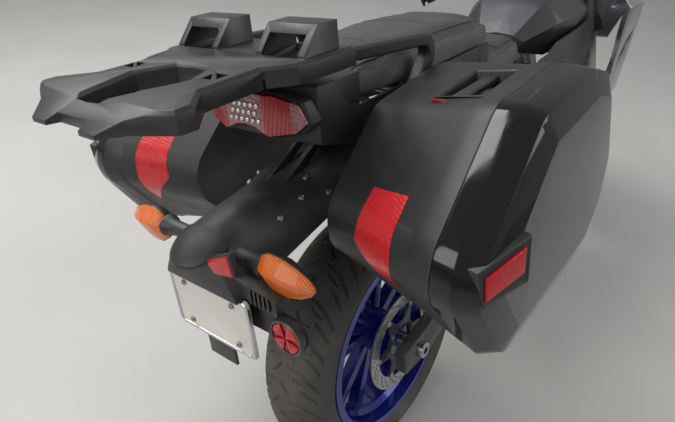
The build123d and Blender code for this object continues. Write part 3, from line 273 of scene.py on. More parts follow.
def ribbed(name, color, ribs, depth):
    """A tinted lens with moulded ribs that stand upright; ribs is how many per metre."""
    graph = Graph(name)
    wave = graph.node("ShaderNodeTexWave", bands_direction="Y")
    graph.put(wave, Vector=graph.place, Scale=ribs * math.pi / 10, Distortion=0.4, Detail=0.0)
    stripe = wave.outputs["Fac"]
    share = graph.math("ADD", graph.math("MULTIPLY", stripe, 0.3), graph.patches(26.0, 3.0, end=0.25))
    base = graph.mix(share, tint(color, 0.75), tint(color, 1.2))
    rough = graph.patches(60.0, 4.0, start=0.16, end=0.24)
    graph.put(graph.shader, Base_Color=base, Roughness=rough, IOR=1.5, Coat_Weight=0.4, Coat_Roughness=0.05,
              Subsurface_Weight=0.25, Subsurface_Scale=0.01, Normal=graph.bump(stripe, depth))
    return graph.material


def dotted(name, color, cells, depth, metallic=0.35):
    """A surface of small moulded cells; cells is how many per metre."""
    graph = Graph(name)
    grid = graph.node("ShaderNodeTexVoronoi", feature="F1")
    graph.put(grid, Vector=graph.place, Scale=cells, Randomness=0.05)
    dome = graph.ramp(grid.outputs["Distance"], 0.15, 0.62, 1.0, 0.0)
    share = graph.math("ADD", graph.math("MULTIPLY", dome, 0.6), graph.patches(18.0, 4.0, end=0.3))
    base = graph.mix(share, tint(color, 1.45), tint(color, 0.65))
    rough = graph.patches(70.0, 4.0, start=0.22, end=0.36)
    graph.put(graph.shader, Base_Color=base, Roughness=rough, Metallic=metallic, Coat_Weight=0.2,
              Coat_Roughness=0.08, Normal=graph.bump(dome, depth))
    return graph.material


materials = {
    "plastic": surface("rough_black_plastic", (0.018, 0.018, 0.020), 0.46, grain=(950.0, 0.0003), dust=0.08,
                       spread=0.06),
    # The rack's paler edges are a painted highlight on its chamfers
    "rack": surface("rack_plastic", (0.020, 0.021, 0.023), 0.36, grain=(900.0, 0.0002), dust=0.06,
                    spread=0.06, edge_wear_and_highlight=(0.07, 0.07, 0.075)),
    "dusty": surface("dusty_plastic", (0.022, 0.021, 0.021), 0.45, grain=(500.0, 0.0003), dust=0.22,
                     spread=0.25),
    "shell": surface("case_plastic", (0.013, 0.013, 0.014), 0.44, grain=(1100.0, 0.0003), dust=0.06,
                     spread=0.05),
    # A paler grey-brown colour for the shells' inward faces
    "pale_wall": surface("pale_case_wall", (0.085, 0.078, 0.070), 0.66, grain=(240.0, 0.0006), dust=0.5,
                     spread=0.25),
    "lid": surface("gloss_black", (0.004, 0.004, 0.005), 0.07, spread=0.2, smooth=0.002),
    "tyre": surface("tyre_rubber", (0.068, 0.062, 0.056), 0.80, grain=(420.0, 0.0005), dust=0.45, spread=0.3),
    "rim": surface("blue_paint", (0.007, 0.015, 0.230), 0.24, metallic=0.45, coat=0.8, spread=0.15,
                   grain=(1600.0, 0.00006)),
    "steel": surface("ground_steel", (0.52, 0.51, 0.50), 0.30, metallic=1.0, grain=(700.0, 0.0001),
                     spread=0.1),
    "bolt": surface("zinc_steel", (0.36, 0.35, 0.34), 0.38, metallic=1.0, grain=(900.0, 0.0001), spread=0.2),
    "chain": surface("oiled_steel", (0.22, 0.19, 0.14), 0.42, metallic=1.0, grain=(260.0, 0.0004), dust=0.2),
    "alloy": surface("cast_alloy", (0.34, 0.33, 0.31), 0.42, metallic=1.0, grain=(420.0, 0.0005), dust=0.2),
    "gold": surface("gold_alloy", (0.50, 0.39, 0.22), 0.4, metallic=1.0, grain=(420.0, 0.0004)),
    "frame": surface("satin_black_metal", (0.035, 0.035, 0.037), 0.38, coat=0.2, grain=(260.0, 0.0003),
                     edge_wear_and_highlight=(0.14, 0.14, 0.14), dust=0.2),
    "engine": surface("crackle_grey_metal", (0.060, 0.060, 0.064), 0.48, metallic=0.3, dust=0.2,
                      grain=(330.0, 0.0007), edge_wear_and_highlight=(0.22, 0.22, 0.22)),
    "exhaust": surface("stained_steel", (0.36, 0.32, 0.27), 0.32, metallic=1.0, grain=(160.0, 0.0003),
                       spread=0.3),
    "paint": surface("silver_paint", (0.30, 0.31, 0.33), 0.30, metallic=0.75, coat=0.7, spread=0.05,
                     grain=(2400.0, 0.00005)),
    "tank": surface("matt_grey_paint", (0.050, 0.052, 0.056), 0.42, metallic=0.45, coat=0.1, spread=0.06,
                    grain=(2000.0, 0.00005)),
    "seat": surface("seat_vinyl", (0.046, 0.046, 0.050), 0.58, grain=(620.0, 0.0006), spread=0.08, dust=0.06),
    "band": surface("seat_side_vinyl", (0.085, 0.080, 0.074), 0.68, grain=(480.0, 0.0006), spread=0.12,
                    dust=0.2),
    "thread": surface("seat_thread", (0.16, 0.16, 0.17), 0.7, grain=(1500.0, 0.0004)),
    "rubber": surface("soft_rubber", (0.022, 0.022, 0.023), 0.7, grain=(500.0, 0.0005)),
    "plate": surface("plate_white", (0.66, 0.64, 0.59), 0.40, grain=(300.0, 0.0002), dust=0.22, spread=0.05),
    "trim": surface("bright_trim", (0.62, 0.61, 0.60), 0.28, metallic=1.0, grain=(500.0, 0.0002),
                    spread=0.15),
    "mirror": surface("mirror_glass", (0.80, 0.82, 0.84), 0.03, metallic=1.0, spread=0.02),
    "silver": surface("lamp_reflector", (0.72, 0.72, 0.73), 0.18, metallic=1.0, grain=(160.0, 0.0005)),
    "red": glass("red_lens", (0.22, 0.003, 0.006), 0.14, 0.1),
    "amber": ribbed("amber_lens", (0.80, 0.155, 0.003), 330.0, 0.0005),
    "clear": glass("clear_lens", (0.92, 0.94, 0.95), 0.02, 1.0),
    "smoke": glass("screen_tint", (0.72, 0.76, 0.78), 0.02, 1.0),
    "lobe": ribbed("lamp_lobe", (0.42, 0.004, 0.010), 150.0, 0.0009),
    "comb": dotted("lamp_comb", (0.26, 0.115, 0.12), 115.0, 0.0012),
    "tape": dotted("reflective_tape", (0.44, 0.012, 0.014), 230.0, 0.0002, 0.1),
    "cells": dotted("reflector_cells", (0.42, 0.004, 0.010), 330.0, 0.0003, 0.1),
}

by_slot = {"tyre_rubber": "tyre", "wheel_blue": "rim", "disc_steel": "steel", "chain_steel": "chain",
           "alloy": "alloy", "black_metal": "frame", "engine_metal": "engine", "exhaust_steel": "exhaust",
           "tank_paint": "paint", "fairing_paint": "paint", "seat_cover": "seat", "black_plastic": "plastic",
           "case_lid_black": "lid", "red_lens": "red", "amber_lens": "amber", "lamp_glass": "clear",
           "screen_clear": "smoke", "plate_white": "plate", "grip_rubber": "rubber"}
own_finish = {"luggage_rack": "rack", "rear_fender": "dusty", "rear_caliper": "gold",
              "front_calipers": "gold", "case_shell_right": "shell", "case_shell_left": "shell",
              "rear_reflector": "frame", "rear_indicators": "plastic", "fuel_tank": "tank"}
slots = {row["node"]: row["material_slot"] for row in frame["record"]["subparts"]}


def paint(piece, material):
    """Give a piece one material."""
    piece.data.materials.clear()
    piece.data.materials.append(material)


for name, node in nodes.items():
    paint(node, materials[own_finish.get(name, by_slot[slots[name]])])


def bake(piece):
    """Apply a piece's modifiers."""
    bpy.context.view_layer.update()
    depsgraph = bpy.context.evaluated_depsgraph_get()
    mesh = bpy.data.meshes.new_from_object(piece.evaluated_get(depsgraph))
    piece.modifiers.clear()
    piece.data = mesh


def edit(mesh, change):
    """Run a change on a mesh's editable form."""
    work = bmesh.new()
    work.from_mesh(mesh)
    change(work)
    work.to_mesh(mesh)
    work.free()


def smooth_by_angle(piece, degrees):
    """Smooth shading but for edges sharper than an angle."""
    limit = math.radians(degrees)

    def mark(work):
        for face in work.faces:
            face.smooth = True
        for edge in work.edges:
            edge.smooth = edge.is_manifold and edge.calc_face_angle(0.0) < limit

    edit(piece.data, mark)


def round_edges(piece, width, segments=2, angle=28):
    """Bevel a piece's sharp edges."""
    bevel = piece.modifiers.new("round", "BEVEL")
    bevel.width = width
    bevel.segments = segments
    bevel.limit_method = "ANGLE"
    bevel.angle_limit = math.radians(angle)
    bevel.use_clamp_overlap = True
    bevel.miter_outer = "MITER_ARC"
    bake(piece)
    smooth_by_angle(piece, 40)


def copy_of(name):
    """A clean copy of a node's mesh, with its flat faces joined."""
    mesh = nodes[name].data.copy()

    def join_flats(work):
        bmesh.ops.remove_doubles(work, verts=work.verts, dist=1e-5)
        bmesh.ops.dissolve_limit(work, angle_limit=math.radians(0.4), verts=work.verts, edges=work.edges)

    edit(mesh, join_flats)
    return placed(name + "_finished", mesh)


def stand_for(piece, name, finish=None):
    """Let a piece take a node's place, body and slot."""
    paint(piece, materials[finish] if finish else nodes[name].data.materials[0])
    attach(piece, nodes[name]["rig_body"])
    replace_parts(piece, name)


def soften(name, width):
    """Replace a CAD node by the same form with its edges rounded."""
    piece = copy_of(name)
    round_edges(piece, width)
    stand_for(piece, name)
    return piece


def mesh_of(name, points, faces, base=upright):
    """A mesh from points in millimetres, its normals turned outwards."""
    mesh = bpy.data.meshes.new(name)
    mesh.from_pydata([base @ (Vector(point) * MM) for point in points], [], faces)

    def clean(work):
        bmesh.ops.remove_doubles(work, verts=work.verts, dist=1e-6)
        bmesh.ops.recalc_face_normals(work, faces=work.faces)

    edit(mesh, clean)
    return mesh


def add_mesh(name, points, faces, finish, slot="black_plastic", body="root", base=upright, angle=35):
    """A piece from points in the upright machine's millimetres."""
    piece = placed(name, mesh_of(name, points, faces, base))
    paint(piece, materials[finish])
    smooth_by_angle(piece, angle)
    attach(piece, body)
    return piece


def ring_faces(rows, count, closed=True, start=0):
    """Faces between neighbouring rows of as many points, round each row or only along it."""
    faces = []
    for row in range(rows - 1):
        near = start + row * count
        for step in range(count if closed else count - 1):
            after = (step + 1) % count
            faces.append((near + step, near + after, near + count + after, near + count + step))
    return faces


def block(low, high):
    """Points and faces of the solid between two outlines."""
    count = len(low)
    faces = [tuple(range(count))[::-1], tuple(range(count, 2 * count))]
    return low + high, faces + ring_faces(2, count)


def last_ring(points, count):
    """The face that closes the last ring of points."""
    return tuple(range(len(points) - count, len(points)))


def lofted(rings, ended=True):
    """Points and faces through rings, with the last ring closed if ended."""
    points = [point for ring in rings for point in ring]
    count = len(rings[0])
    faces = ring_faces(len(rings), count)
    if ended:
        faces.append(last_ring(points, count))
    return points, faces


def stacked(outline, normal, rows):
    """An outline's rings with a top. A row is a share of the way from the middle, and a lift."""
    middle = sum(outline, Vector()) / len(outline)
    return lofted([[middle + (corner - middle) * share + normal * lift for corner in outline]
                   for share, lift in rows])


def prism(origin, right, up, outline, depth):
    """Points and faces of a flat outline drawn out along its normal."""
    right = Vector(right).normalized()
    up = (Vector(up) - right * Vector(up).dot(right)).normalized()
    out = right.cross(up)
    low = [Vector(origin) + right * a + up * b for a, b in outline]
    return block(low, [point + out * depth for point in low])


def oblong(half_wide, half_high):
    """Corners of a rectangle about its middle."""
    return [(a * half_wide, b * half_high) for a, b in ((-1, -1), (1, -1), (1, 1), (-1, 1))]


def rounded(width, height, radius, steps=5):
    """Outline of a rectangle with round corners."""
    made = []
    for quarter, (sign_x, sign_y) in enumerate(((1, 1), (-1, 1), (-1, -1), (1, -1))):
        for step in range(steps + 1):
            turn = math.pi / 2 * (quarter + step / steps)
            made.append((sign_x * (width / 2 - radius) + radius * math.cos(turn),
                         sign_y * (height / 2 - radius) + radius * math.sin(turn)))
    return made


def turned(centre, axis, profile, segments=40):
    """Points and faces of a profile of radius and height turned about an axis."""
    axis = Vector(axis).normalized()
    side = axis.orthogonal().normalized()
    other = axis.cross(side)
    points, faces = [], []
    for step in range(segments):
        turn = 2 * math.pi * step / segments
        out = side * math.cos(turn) + other * math.sin(turn)
        points += [Vector(centre) + out * radius + axis * height for radius, height in profile]
    rows = len(profile)
    for step in range(segments):
        near, far = step * rows, (step + 1) % segments * rows
        faces += [(near + row, far + row, far + row + 1, near + row + 1) for row in range(rows - 1)]
    return points, faces


def joined(parts):
    """Put several sets of points and faces together."""
    points, faces = [], []
    for more_points, more_faces in parts:
        start = len(points)
        points += list(more_points)
        faces += [tuple(index + start for index in face) for face in more_faces]
    return points, faces


def bolt_head(place, axis, radius, height):
    """A button head with its socket."""
    profile = [(0, height * 0.4), (radius * 0.45, height * 0.4), (radius * 0.5, height),
               (radius * 0.8, height * 0.85), (radius, height * 0.3), (radius, -1.0)]
    return turned(place, axis, profile, 18)


def tree_of(piece):
    """Search tree of a piece's faces in the upright machine's millimetres."""
    points = [from_world @ vertex.co / MM for vertex in piece.data.vertices]
    return BVHTree.FromPolygons(points, [tuple(face.vertices) for face in piece.data.polygons])


def seen_from(tree, start, direction):
    """The spot and the outward normal where a line first meets a surface."""
    direction = Vector(direction).normalized()
    place, normal, _, _ = tree.ray_cast(Vector(start), direction)
    if normal.dot(direction) > 0:
        normal = -normal
    return place, normal


def dropped(tree, x, y):
    """The spot and normal where a plumb line meets a surface."""
    return seen_from(tree, (x, y, SKY), (0, 0, -1))


def photo_line(u, v):
    """Start and direction of a photo pixel's sight line, in the upright machine's millimetres."""
    down = CAMERA_FORWARD.cross(CAMERA_RIGHT).normalized()
    across = CAMERA_RIGHT * (u - PHOTO_WIDTH / 2) / FOCAL_PIXELS
    return CAMERA_PLACE / MM, CAMERA_FORWARD + across + down * (v - PHOTO_HEIGHT / 2) / FOCAL_PIXELS


def on_face(pixels, place, normal):
    """Where pixels' sight lines meet the plane through a place."""
    spots = []
    for u, v in pixels:
        start, direction = photo_line(u, v)
        spots.append(start + direction * ((place - start).dot(normal) / direction.dot(normal)))
    return spots


# Radius of each piece's rounded edges, in metres
soft_edges = {"luggage_rack": 0.003, "tail_cowl": 0.004, "swingarm": 0.003, "frame": 0.003,
              "fuel_tank": 0.012, "nose_cowl": 0.004, "side_cowls": 0.003, "engine": 0.004,
              "engine_covers": 0.003, "fork_yokes": 0.003, "footrests": 0.002, "case_mounts": 0.002,
              "rear_caliper": 0.003, "front_calipers": 0.003, "hand_guards": 0.002, "radiator": 0.002,
              "front_fender": 0.0015, "subframe": 0.001, "exhaust": 0.002}
softened = {name: soften(name, width) for name, width in soft_edges.items()}

# The covers between tank and frame are darker than the outer cowls
INNER_COVER_Y = 190
cowls = softened["side_cowls"].data
cowls.materials.append(materials["tank"])
for face in cowls.polygons:
    face.material_index = 1 if abs((from_world @ face.center).y) < INNER_COVER_Y * MM else 0

# Side cases: a handle let into each shell's top, and a strip of tape on its back
HANDLE = ((-132, 250), (-8, 250), (-8, 322), (-132, 322))
HANDLE_DEEP = 34
HANDLE_TOP = 1010
# The cup's rings: rise above the shell, and growth past the pocket's corners
CUP_ROWS = ((1.8, 7.0), (2.6, 3.0), (1.2, -2.5), (6 - HANDLE_DEEP, -3.5), (-HANDLE_DEEP, -11.5))
BAR_START, BAR_LONG, BAR_DROP, BAR_SHARE = -130, 120, 9, 0.42
BAR_HALF = (11, 5)
TAB_AT = (-149, 262)
TAB_HALF = (12, 3.5)
TAB_THICK, TAB_SUNK = 3.0, 0.5
# Faces that look this far towards the machine's middle get a paler grey-brown inner wall colour
INWARD = -0.8
# Corners and tip of the tape, by Y and Z
TAPE_CORNERS = ((225, 864), (290, 872), (288, 809), (215, 795))
TAPE_TIP = (285, 726)
TAPE_LIFT = 0.5
TAPE_SQUARE = 0.6
BEHIND = -700


def cut_pocket(piece, corners):
    """Cut the handle's pocket out of a shell."""
    low = [Vector((corner.x, corner.y, corner.z - HANDLE_DEEP)) for corner in corners]
    high = [Vector((corner.x, corner.y, HANDLE_TOP)) for corner in corners]
    cutter = placed("cutter", mesh_of("cutter", *block(low, high)))
    cut = piece.modifiers.new("pocket", "BOOLEAN")
    cut.operation = "DIFFERENCE"
    cut.solver = "EXACT"
    cut.object = cutter
    bake(piece)
    bpy.data.objects.remove(cutter)


def add_handle(word, corners):
    """The pocket's own walls, floor and rim, and the bar across it."""
    middle = sum(corners, Vector()) / 4
    rings = []
    for rise, grow in CUP_ROWS:
        ring = []
        for corner in corners:
            away = corner - middle
            out = Vector((math.copysign(1, away.x), math.copysign(1, away.y), 0))
            ring.append(corner + out * grow + Vector((0, 0, rise)))
        rings.append(ring)
    cup = add_mesh(f"handle_cup_{word}", *lofted(rings), "plastic")
    round_edges(cup, 0.003, 3, 20)
    y_in, y_out = corners[0].y, corners[2].y
    start = Vector((BAR_START, y_in + (y_out - y_in) * BAR_SHARE, middle.z - BAR_DROP))
    bar_form = prism(start, (0, 1, 0), (0, 0, 1), oblong(*BAR_HALF), BAR_LONG)
    bar = add_mesh(f"handle_bar_{word}", *bar_form, "plastic")
    round_edges(bar, 0.003, 3)


def finish_shell(side, word):
    """A case's shell with its handle and red tab, and a paler grey-brown inner wall."""
    name = f"case_shell_{word}"
    piece = copy_of(name)
    tree = tree_of(nodes[name])
    corners = [dropped(tree, x, side * y)[0] for x, y in HANDLE]
    cut_pocket(piece, corners)
    round_edges(piece, 0.003, 3)
    stand_for(piece, name)
    piece.data.materials.append(materials["pale_wall"])
    to_machine = upright.to_3x3().inverted()
    for face in piece.data.polygons:
        face.material_index = 1 if (to_machine @ face.normal).y * side < INWARD else 0
    add_handle(word, corners)
    spot, normal = dropped(tree, TAB_AT[0], side * TAB_AT[1])
    tab_form = prism(spot - normal * TAB_SUNK, (0, side, 0), (-side, 0, 0), oblong(*TAB_HALF), TAB_THICK)
    tab = add_mesh(f"release_tab_{word}", *tab_form, "red", "red_lens")
    round_edges(tab, 0.0008)
    return tree


def add_tape(side, word, tree):
    """The strip of tape, laid on a case from behind."""
    steps_across, steps_down = 12, 36
    first, second, third, fourth = (Vector((side * y, z)) for y, z in TAPE_CORNERS)
    tip = Vector((side * TAPE_TIP[0], TAPE_TIP[1]))
    points = []
    for down in range(steps_down + 1):
        share = down / steps_down
        if share < TAPE_SQUARE:
            near = first.lerp(fourth, share / TAPE_SQUARE)
            far = second.lerp(third, share / TAPE_SQUARE)
        else:
            near = fourth.lerp(tip, (share - TAPE_SQUARE) / (1 - TAPE_SQUARE))
            far = third.lerp(tip, (share - TAPE_SQUARE) / (1 - TAPE_SQUARE))
        for across in range(steps_across + 1):
            spot = near.lerp(far, across / steps_across)
            place, normal = seen_from(tree, (BEHIND, spot.x, spot.y), (1, 0, 0))
            points.append(place + normal * TAPE_LIFT)
    faces = ring_faces(steps_down + 1, steps_across + 1, closed=False)
    add_mesh(f"tape_{word}", points, faces, "tape", "red_lens", "root")


shell_trees = [finish_shell(side, word) for side, word in SIDES]
for (side, word), tree in zip(SIDES, shell_trees):
    add_tape(side, word, tree)

# Lids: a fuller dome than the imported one, and lower at its outer edge
LID_MIDDLE = (-70, 800)
LID_HALF = (252, 172)
LID_SEAM_Y, LID_RIM_Y, LID_DOME_Y = 360, 388, 420
LID_SWELL, LID_SWELL_START = 20, 12
LID_DROP = 26
LID_STILL = 0.3


def clamped(value):
    """A value held between 0 and 1."""
    return min(1.0, max(0.0, value))


def finish_lid(word):
    """A lid whose dome is drawn out to its outline, with soft creases."""
    name = f"case_lid_{word}"
    piece = copy_of(name)
    edit(piece.data, lambda work: bmesh.ops.triangulate(
        work, faces=[face for face in work.faces if len(face.verts) > 4]))
    for vertex in piece.data.vertices:
        place = from_world @ vertex.co / MM
        out = abs(place.y)
        along = (place.x - LID_MIDDLE[0]) / LID_HALF[0]
        rise = (place.z - LID_MIDDLE[1]) / LID_HALF[1]
        reach = math.hypot(along, rise)
        swell_start = LID_RIM_Y - LID_SWELL_START
        swell = LID_SWELL * clamped((out - swell_start) / (LID_DOME_Y - swell_start))
        if reach > LID_STILL:
            place.x += swell * along / reach
            place.z += swell * rise / reach
        edge = clamped((out - LID_SEAM_Y) / (LID_RIM_Y - LID_SEAM_Y))
        place.z -= LID_DROP * edge * clamped(-rise) ** 2
        vertex.co = upright @ (place * MM)
    round_edges(piece, 0.006, 4, 12)
    stand_for(piece, name)
    return piece


lids = [finish_lid(word) for _, word in SIDES]

# The lid's reflector and its surround, by the photo pixels of their corners
SURROUND_PIXELS = ((477, 274), (532, 234), (528, 281), (482, 309))
LENS_PIXELS = ((485, 278), (525, 246), (523, 271), (484, 302))
CROWN_STEPS = 8
# Rings of the surround and the reflector: share of the outline, and lift
BEZEL_ROWS = ((1.02, -22), (1.0, 0.5), (0.95, 2.2), (0.88, 0.6))
CELL_ROWS = ((1.0, -2), (1.0, 3.2), (0.95, 4.2))


def facing(pixels, tree):
    """Where four pixels' sight lines meet a surface, laid flat on its crown, and their normal."""
    hits = [seen_from(tree, *photo_line(u, v)) for u, v in pixels]
    middle = sum((place for place, _ in hits), Vector()) / len(hits)
    normal = sum((out for _, out in hits), Vector()).normalized()
    corners = [Vector(pixel) for pixel in pixels]
    crown = 0
    for row in range(CROWN_STEPS + 1):
        for column in range(CROWN_STEPS + 1):
            top = corners[0].lerp(corners[1], column / CROWN_STEPS)
            low = corners[3].lerp(corners[2], column / CROWN_STEPS)
            place, _ = seen_from(tree, *photo_line(*top.lerp(low, row / CROWN_STEPS)))
            crown = max(crown, (place - middle).dot(normal))
    return on_face(pixels, middle + normal * crown, normal), normal


surround_outline, lid_normal = facing(SURROUND_PIXELS, tree_of(lids[0]))
lens_outline = on_face(LENS_PIXELS, sum(surround_outline, Vector()) / 4, lid_normal)


def mirrored(points, side):
    """Points of the right side put on either side."""
    return [Vector((point.x, -side * point.y, point.z)) for point in points]


def add_lid_reflector(side, word):
    """A red reflector in a black surround near the lid's lower rear edge."""
    name = f"case_lid_{word}"
    normal = mirrored([lid_normal], side)[0]
    bezel = add_mesh(f"{name}_surround", *stacked(mirrored(surround_outline, side), normal, BEZEL_ROWS),
                     "plastic", "black_plastic", name)
    round_edges(bezel, 0.001)
    lens = add_mesh(f"{name}_reflector", *stacked(mirrored(lens_outline, side), normal, CELL_ROWS),
                    "cells", "red_lens", name)
    round_edges(lens, 0.001)


for side, word in SIDES:
    add_lid_reflector(side, word)

# Tail lamp: a dotted middle with small bulbs, red lobes, dotted ends and a black surround
LAMP_BACK = -284
LAMP_HALF = [(0, 979), (60, 977), (98, 965), (111, 938), (92, 922), (47, 914), (18, 926), (0, 928)]
LAMP_MIDDLE = Vector((0, 948))
LOBE_IN, LOBE_OUT = 40, 87
# The surround's rings: growth past the lamp's face, and X
SURROUND_ROWS = ((7, -258), (7, -276), (2.5, -281), (0.5, -270))
# How much of that growth goes sideways; how far the ends bow forward, from what Y and over what width
SIDEWAYS = 0.35
BOW, BOW_START, BOW_WIDE = 26, 44, 86
BULB_STEP = 12
BULB_REACH = 34
BULB_PROFILE = [(4.6, 0), (4.0, 1.6), (2.4, 2.6), (0.01, 3.0)]


def finish_lamp():
    """The lamp's face, parted into its zones."""
    piece = copy_of("tail_lamp")

    def part_zones(work):
        for cut_y in (-LOBE_OUT, -LOBE_IN, LOBE_IN, LOBE_OUT):
            spot = upright @ (Vector((0, cut_y, 0)) * MM)
            bmesh.ops.bisect_plane(work, geom=work.verts[:] + work.edges[:] + work.faces[:], plane_co=spot,
                                   plane_no=left)

    edit(piece.data, part_zones)
    stand_for(piece, "tail_lamp", "comb")
    piece.data.materials.append(materials["lobe"])
    for face in piece.data.polygons:
        face.material_index = 1 if LOBE_IN < abs((from_world @ face.center / MM).y) < LOBE_OUT else 0
    round_edges(piece, 0.003, 3)


def add_lamp_surround():
    """A ridge round the lamp's face, bowed forward at its ends."""
    outline = LAMP_HALF + [(-y, z) for y, z in reversed(LAMP_HALF) if y]
    rings = []
    for grow, x in SURROUND_ROWS:
        ring = []
        for y, z in outline:
            away = Vector((y, z)) - LAMP_MIDDLE
            out = Vector((away.x * SIDEWAYS, away.y)).normalized()
            bow = BOW * max(0, (abs(y) - BOW_START) / BOW_WIDE)
            ring.append(Vector((x + bow, y + out.x * grow, z + out.y * grow)))
        rings.append(ring)
    surround = add_mesh("lamp_surround", *lofted(rings, ended=False), "plastic")
    round_edges(surround, 0.0012)


def add_lamp_bulbs():
    """Rows of small bulbs in the lamp's middle, every second row shifted."""
    parts = []
    for z, shift in ((936, 0), (948, BULB_STEP // 2), (960, 0)):
        for y in range(-30, 31, BULB_STEP):
            if abs(y + shift) <= BULB_REACH:
                parts.append(turned((LAMP_BACK - 0.5, y + shift, z), BACKWARD, BULB_PROFILE, 14))
    add_mesh("lamp_bulbs", *joined(parts), "silver", "lamp_glass")


finish_lamp()
add_lamp_surround()
add_lamp_bulbs()

# Indicators: amber lenses, ridged behind, in black housings on black collars
INDICATOR_AT = (-388, 112, 764)
INDICATOR_LONG = 98
INDICATOR_FALL = 5
RIDGE = 0.28
HOUSING_WALL = 1.2
COLLAR_INSET = 10
# Share of the length, half height, depth behind and depth in front
INDICATOR_STATIONS = ((0.0, 14, 12, 14), (0.06, 24, 20, 20), (0.22, 33, 27, 25), (0.48, 33, 27, 25),
                      (0.74, 25, 20, 20), (0.92, 14, 12, 12), (1.0, 4, 5, 3))
COLLAR_PROFILE = [(0.01, -42), (12, -40), (13, -20), (14, 0), (18, 6), (19.5, 13), (17, 16), (8, 16)]


def half_shell(points, wide):
    """Faces of rows of half rings: their outside, both ends and the open side."""
    rows = len(points) // wide
    faces = ring_faces(rows, wide, closed=False) + [tuple(range(wide)), last_ring(points, wide)]
    for start in range(0, (rows - 1) * wide, wide):
        faces.append((start, start + wide, start + 2 * wide - 1, start + wide - 1))
    return faces


def add_indicator(side, word):
    """One indicator: a lens with a ridge, its housing and its collar."""
    x, y, z = INDICATOR_AT
    lens_points, back_points = [], []
    steps = 12
    for share, high, behind, front in INDICATOR_STATIONS:
        out = side * (y + INDICATOR_LONG * share)
        level = z - INDICATOR_FALL * share
        for step in range(steps + 1):
            turn = math.pi * step / steps
            rise = math.cos(turn)
            bulge = 1 - abs(rise - RIDGE) / (1 + RIDGE if rise < RIDGE else 1 - RIDGE)
            lens_points.append((x - behind * (RIDGE + (1 - RIDGE) * bulge ** 0.8), out, level + high * rise))
            back_points.append((x + front * math.sin(turn) - behind * RIDGE, out,
                                level + (high + HOUSING_WALL) * rise))
    lens = add_mesh(f"indicator_lens_{word}", lens_points, half_shell(lens_points, steps + 1), "amber",
                    "amber_lens", angle=50)
    round_edges(lens, 0.0016, 3, 35)
    housing = add_mesh(f"indicator_housing_{word}", back_points, half_shell(back_points, steps + 1),
                       "plastic", angle=50)
    round_edges(housing, 0.0012, 2, 50)
    collar = turned((x, side * (y - COLLAR_INSET), z), (0, side, 0), COLLAR_PROFILE, 32)
    add_mesh(f"indicator_collar_{word}", *collar, "plastic")
    return lens


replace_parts(add_indicator(-1, "right"), "rear_indicators")
add_indicator(1, "left")

# Number plate: blank, in a pale metal border with four bolts
PLATE_X, PLATE_Z = -420, 649
PLATE_WIDE, PLATE_HIGH = 178, 102
# Rings of the sheet and the border: growth past the plate's outline, corner radius and lift
SHEET_ROWS = ((0, 8, 0.6), (-1.5, 7.5, 1.2), (-5, 6, 1.3), (-7, 5, 0.7))
BORDER_ROWS = ((12, 11, -3.5), (12, 11, 1.6), (9, 10, 3.0), (1, 8, 3.0), (-1, 7, 1.4), (-1, 7, -1))
PLATE_BOLT_Y, PLATE_BOLT_Z = 58, 39


def plate_rings(rows):
    """The plate's outline at each row's growth, radius and lift."""
    return [[(PLATE_X - lift, -a, PLATE_Z + b)
             for a, b in rounded(PLATE_WIDE + grow, PLATE_HIGH + grow, radius)]
            for grow, radius, lift in rows]


def finish_plate():
    """The blank plate with its raised edge, and the border round it."""
    add_mesh("plate_sheet", *lofted(plate_rings(SHEET_ROWS)), "plate", "plate_white")
    add_mesh("plate_border", *lofted(plate_rings(BORDER_ROWS), ended=False), "trim", "alloy")
    heads = [bolt_head((PLATE_X - 0.7, y, PLATE_Z + z), BACKWARD, 5.5, 4)
             for y in (-PLATE_BOLT_Y, PLATE_BOLT_Y) for z in (-PLATE_BOLT_Z, PLATE_BOLT_Z)]
    add_mesh("plate_bolts", *joined(heads), "bolt", "alloy")


finish_plate()

# Round reflector: four raised sectors in a dark rim
REFLECTOR_AT = Vector((-410, -159, 665))
REFLECTOR_RIM = [(31.3, -9), (31.3, 2.0), (30, 3.2), (27.8, 3.0), (27, 1)]
SECTOR_GAP = 0.55
SECTOR_RADIUS, SECTOR_PEAK = 26.6, 14
# Lift of a sector's foot and peak; its crease's share of the way to the peak, and rise over the foot
SECTOR_LOW, SECTOR_HIGH = 1.2, 5.0
CREASE_SHARE, CREASE_RISE = 0.12, 1.6


def finish_reflector():
    """The round red reflector beside the plate."""

    def spot(turn, radius, lift):
        return REFLECTOR_AT + Vector((-lift, radius * math.cos(turn), radius * math.sin(turn)))

    rim = turned(REFLECTOR_AT, BACKWARD, REFLECTOR_RIM, 56)
    add_mesh("round_reflector_rim", *rim, "frame", "black_metal")
    parts = []
    wedge = math.pi / 2 - SECTOR_GAP
    for quarter in range(4):
        start = quarter * math.pi / 2 + SECTOR_GAP / 2
        low = [spot(0, 0, SECTOR_LOW)]
        low += [spot(start + wedge * step / 12, SECTOR_RADIUS, SECTOR_LOW) for step in range(13)]
        peak = spot(start + wedge / 2, SECTOR_PEAK, SECTOR_HIGH)
        ring = [point.lerp(peak, CREASE_SHARE) + BACKWARD * CREASE_RISE for point in low]
        count = len(low)
        faces = ring_faces(2, count) + [(count + i, count + (i + 1) % count, 2 * count) for i in range(count)]
        parts.append((low + ring + [peak], faces))
    add_mesh("round_reflector_sectors", *joined(parts), "cells", "red_lens", angle=12)
    base = turned(REFLECTOR_AT, BACKWARD, [(27.2, 0.6), (0.01, 0.6)], 56)
    add_mesh("round_reflector_base", *base, "red", "red_lens")


finish_reflector()

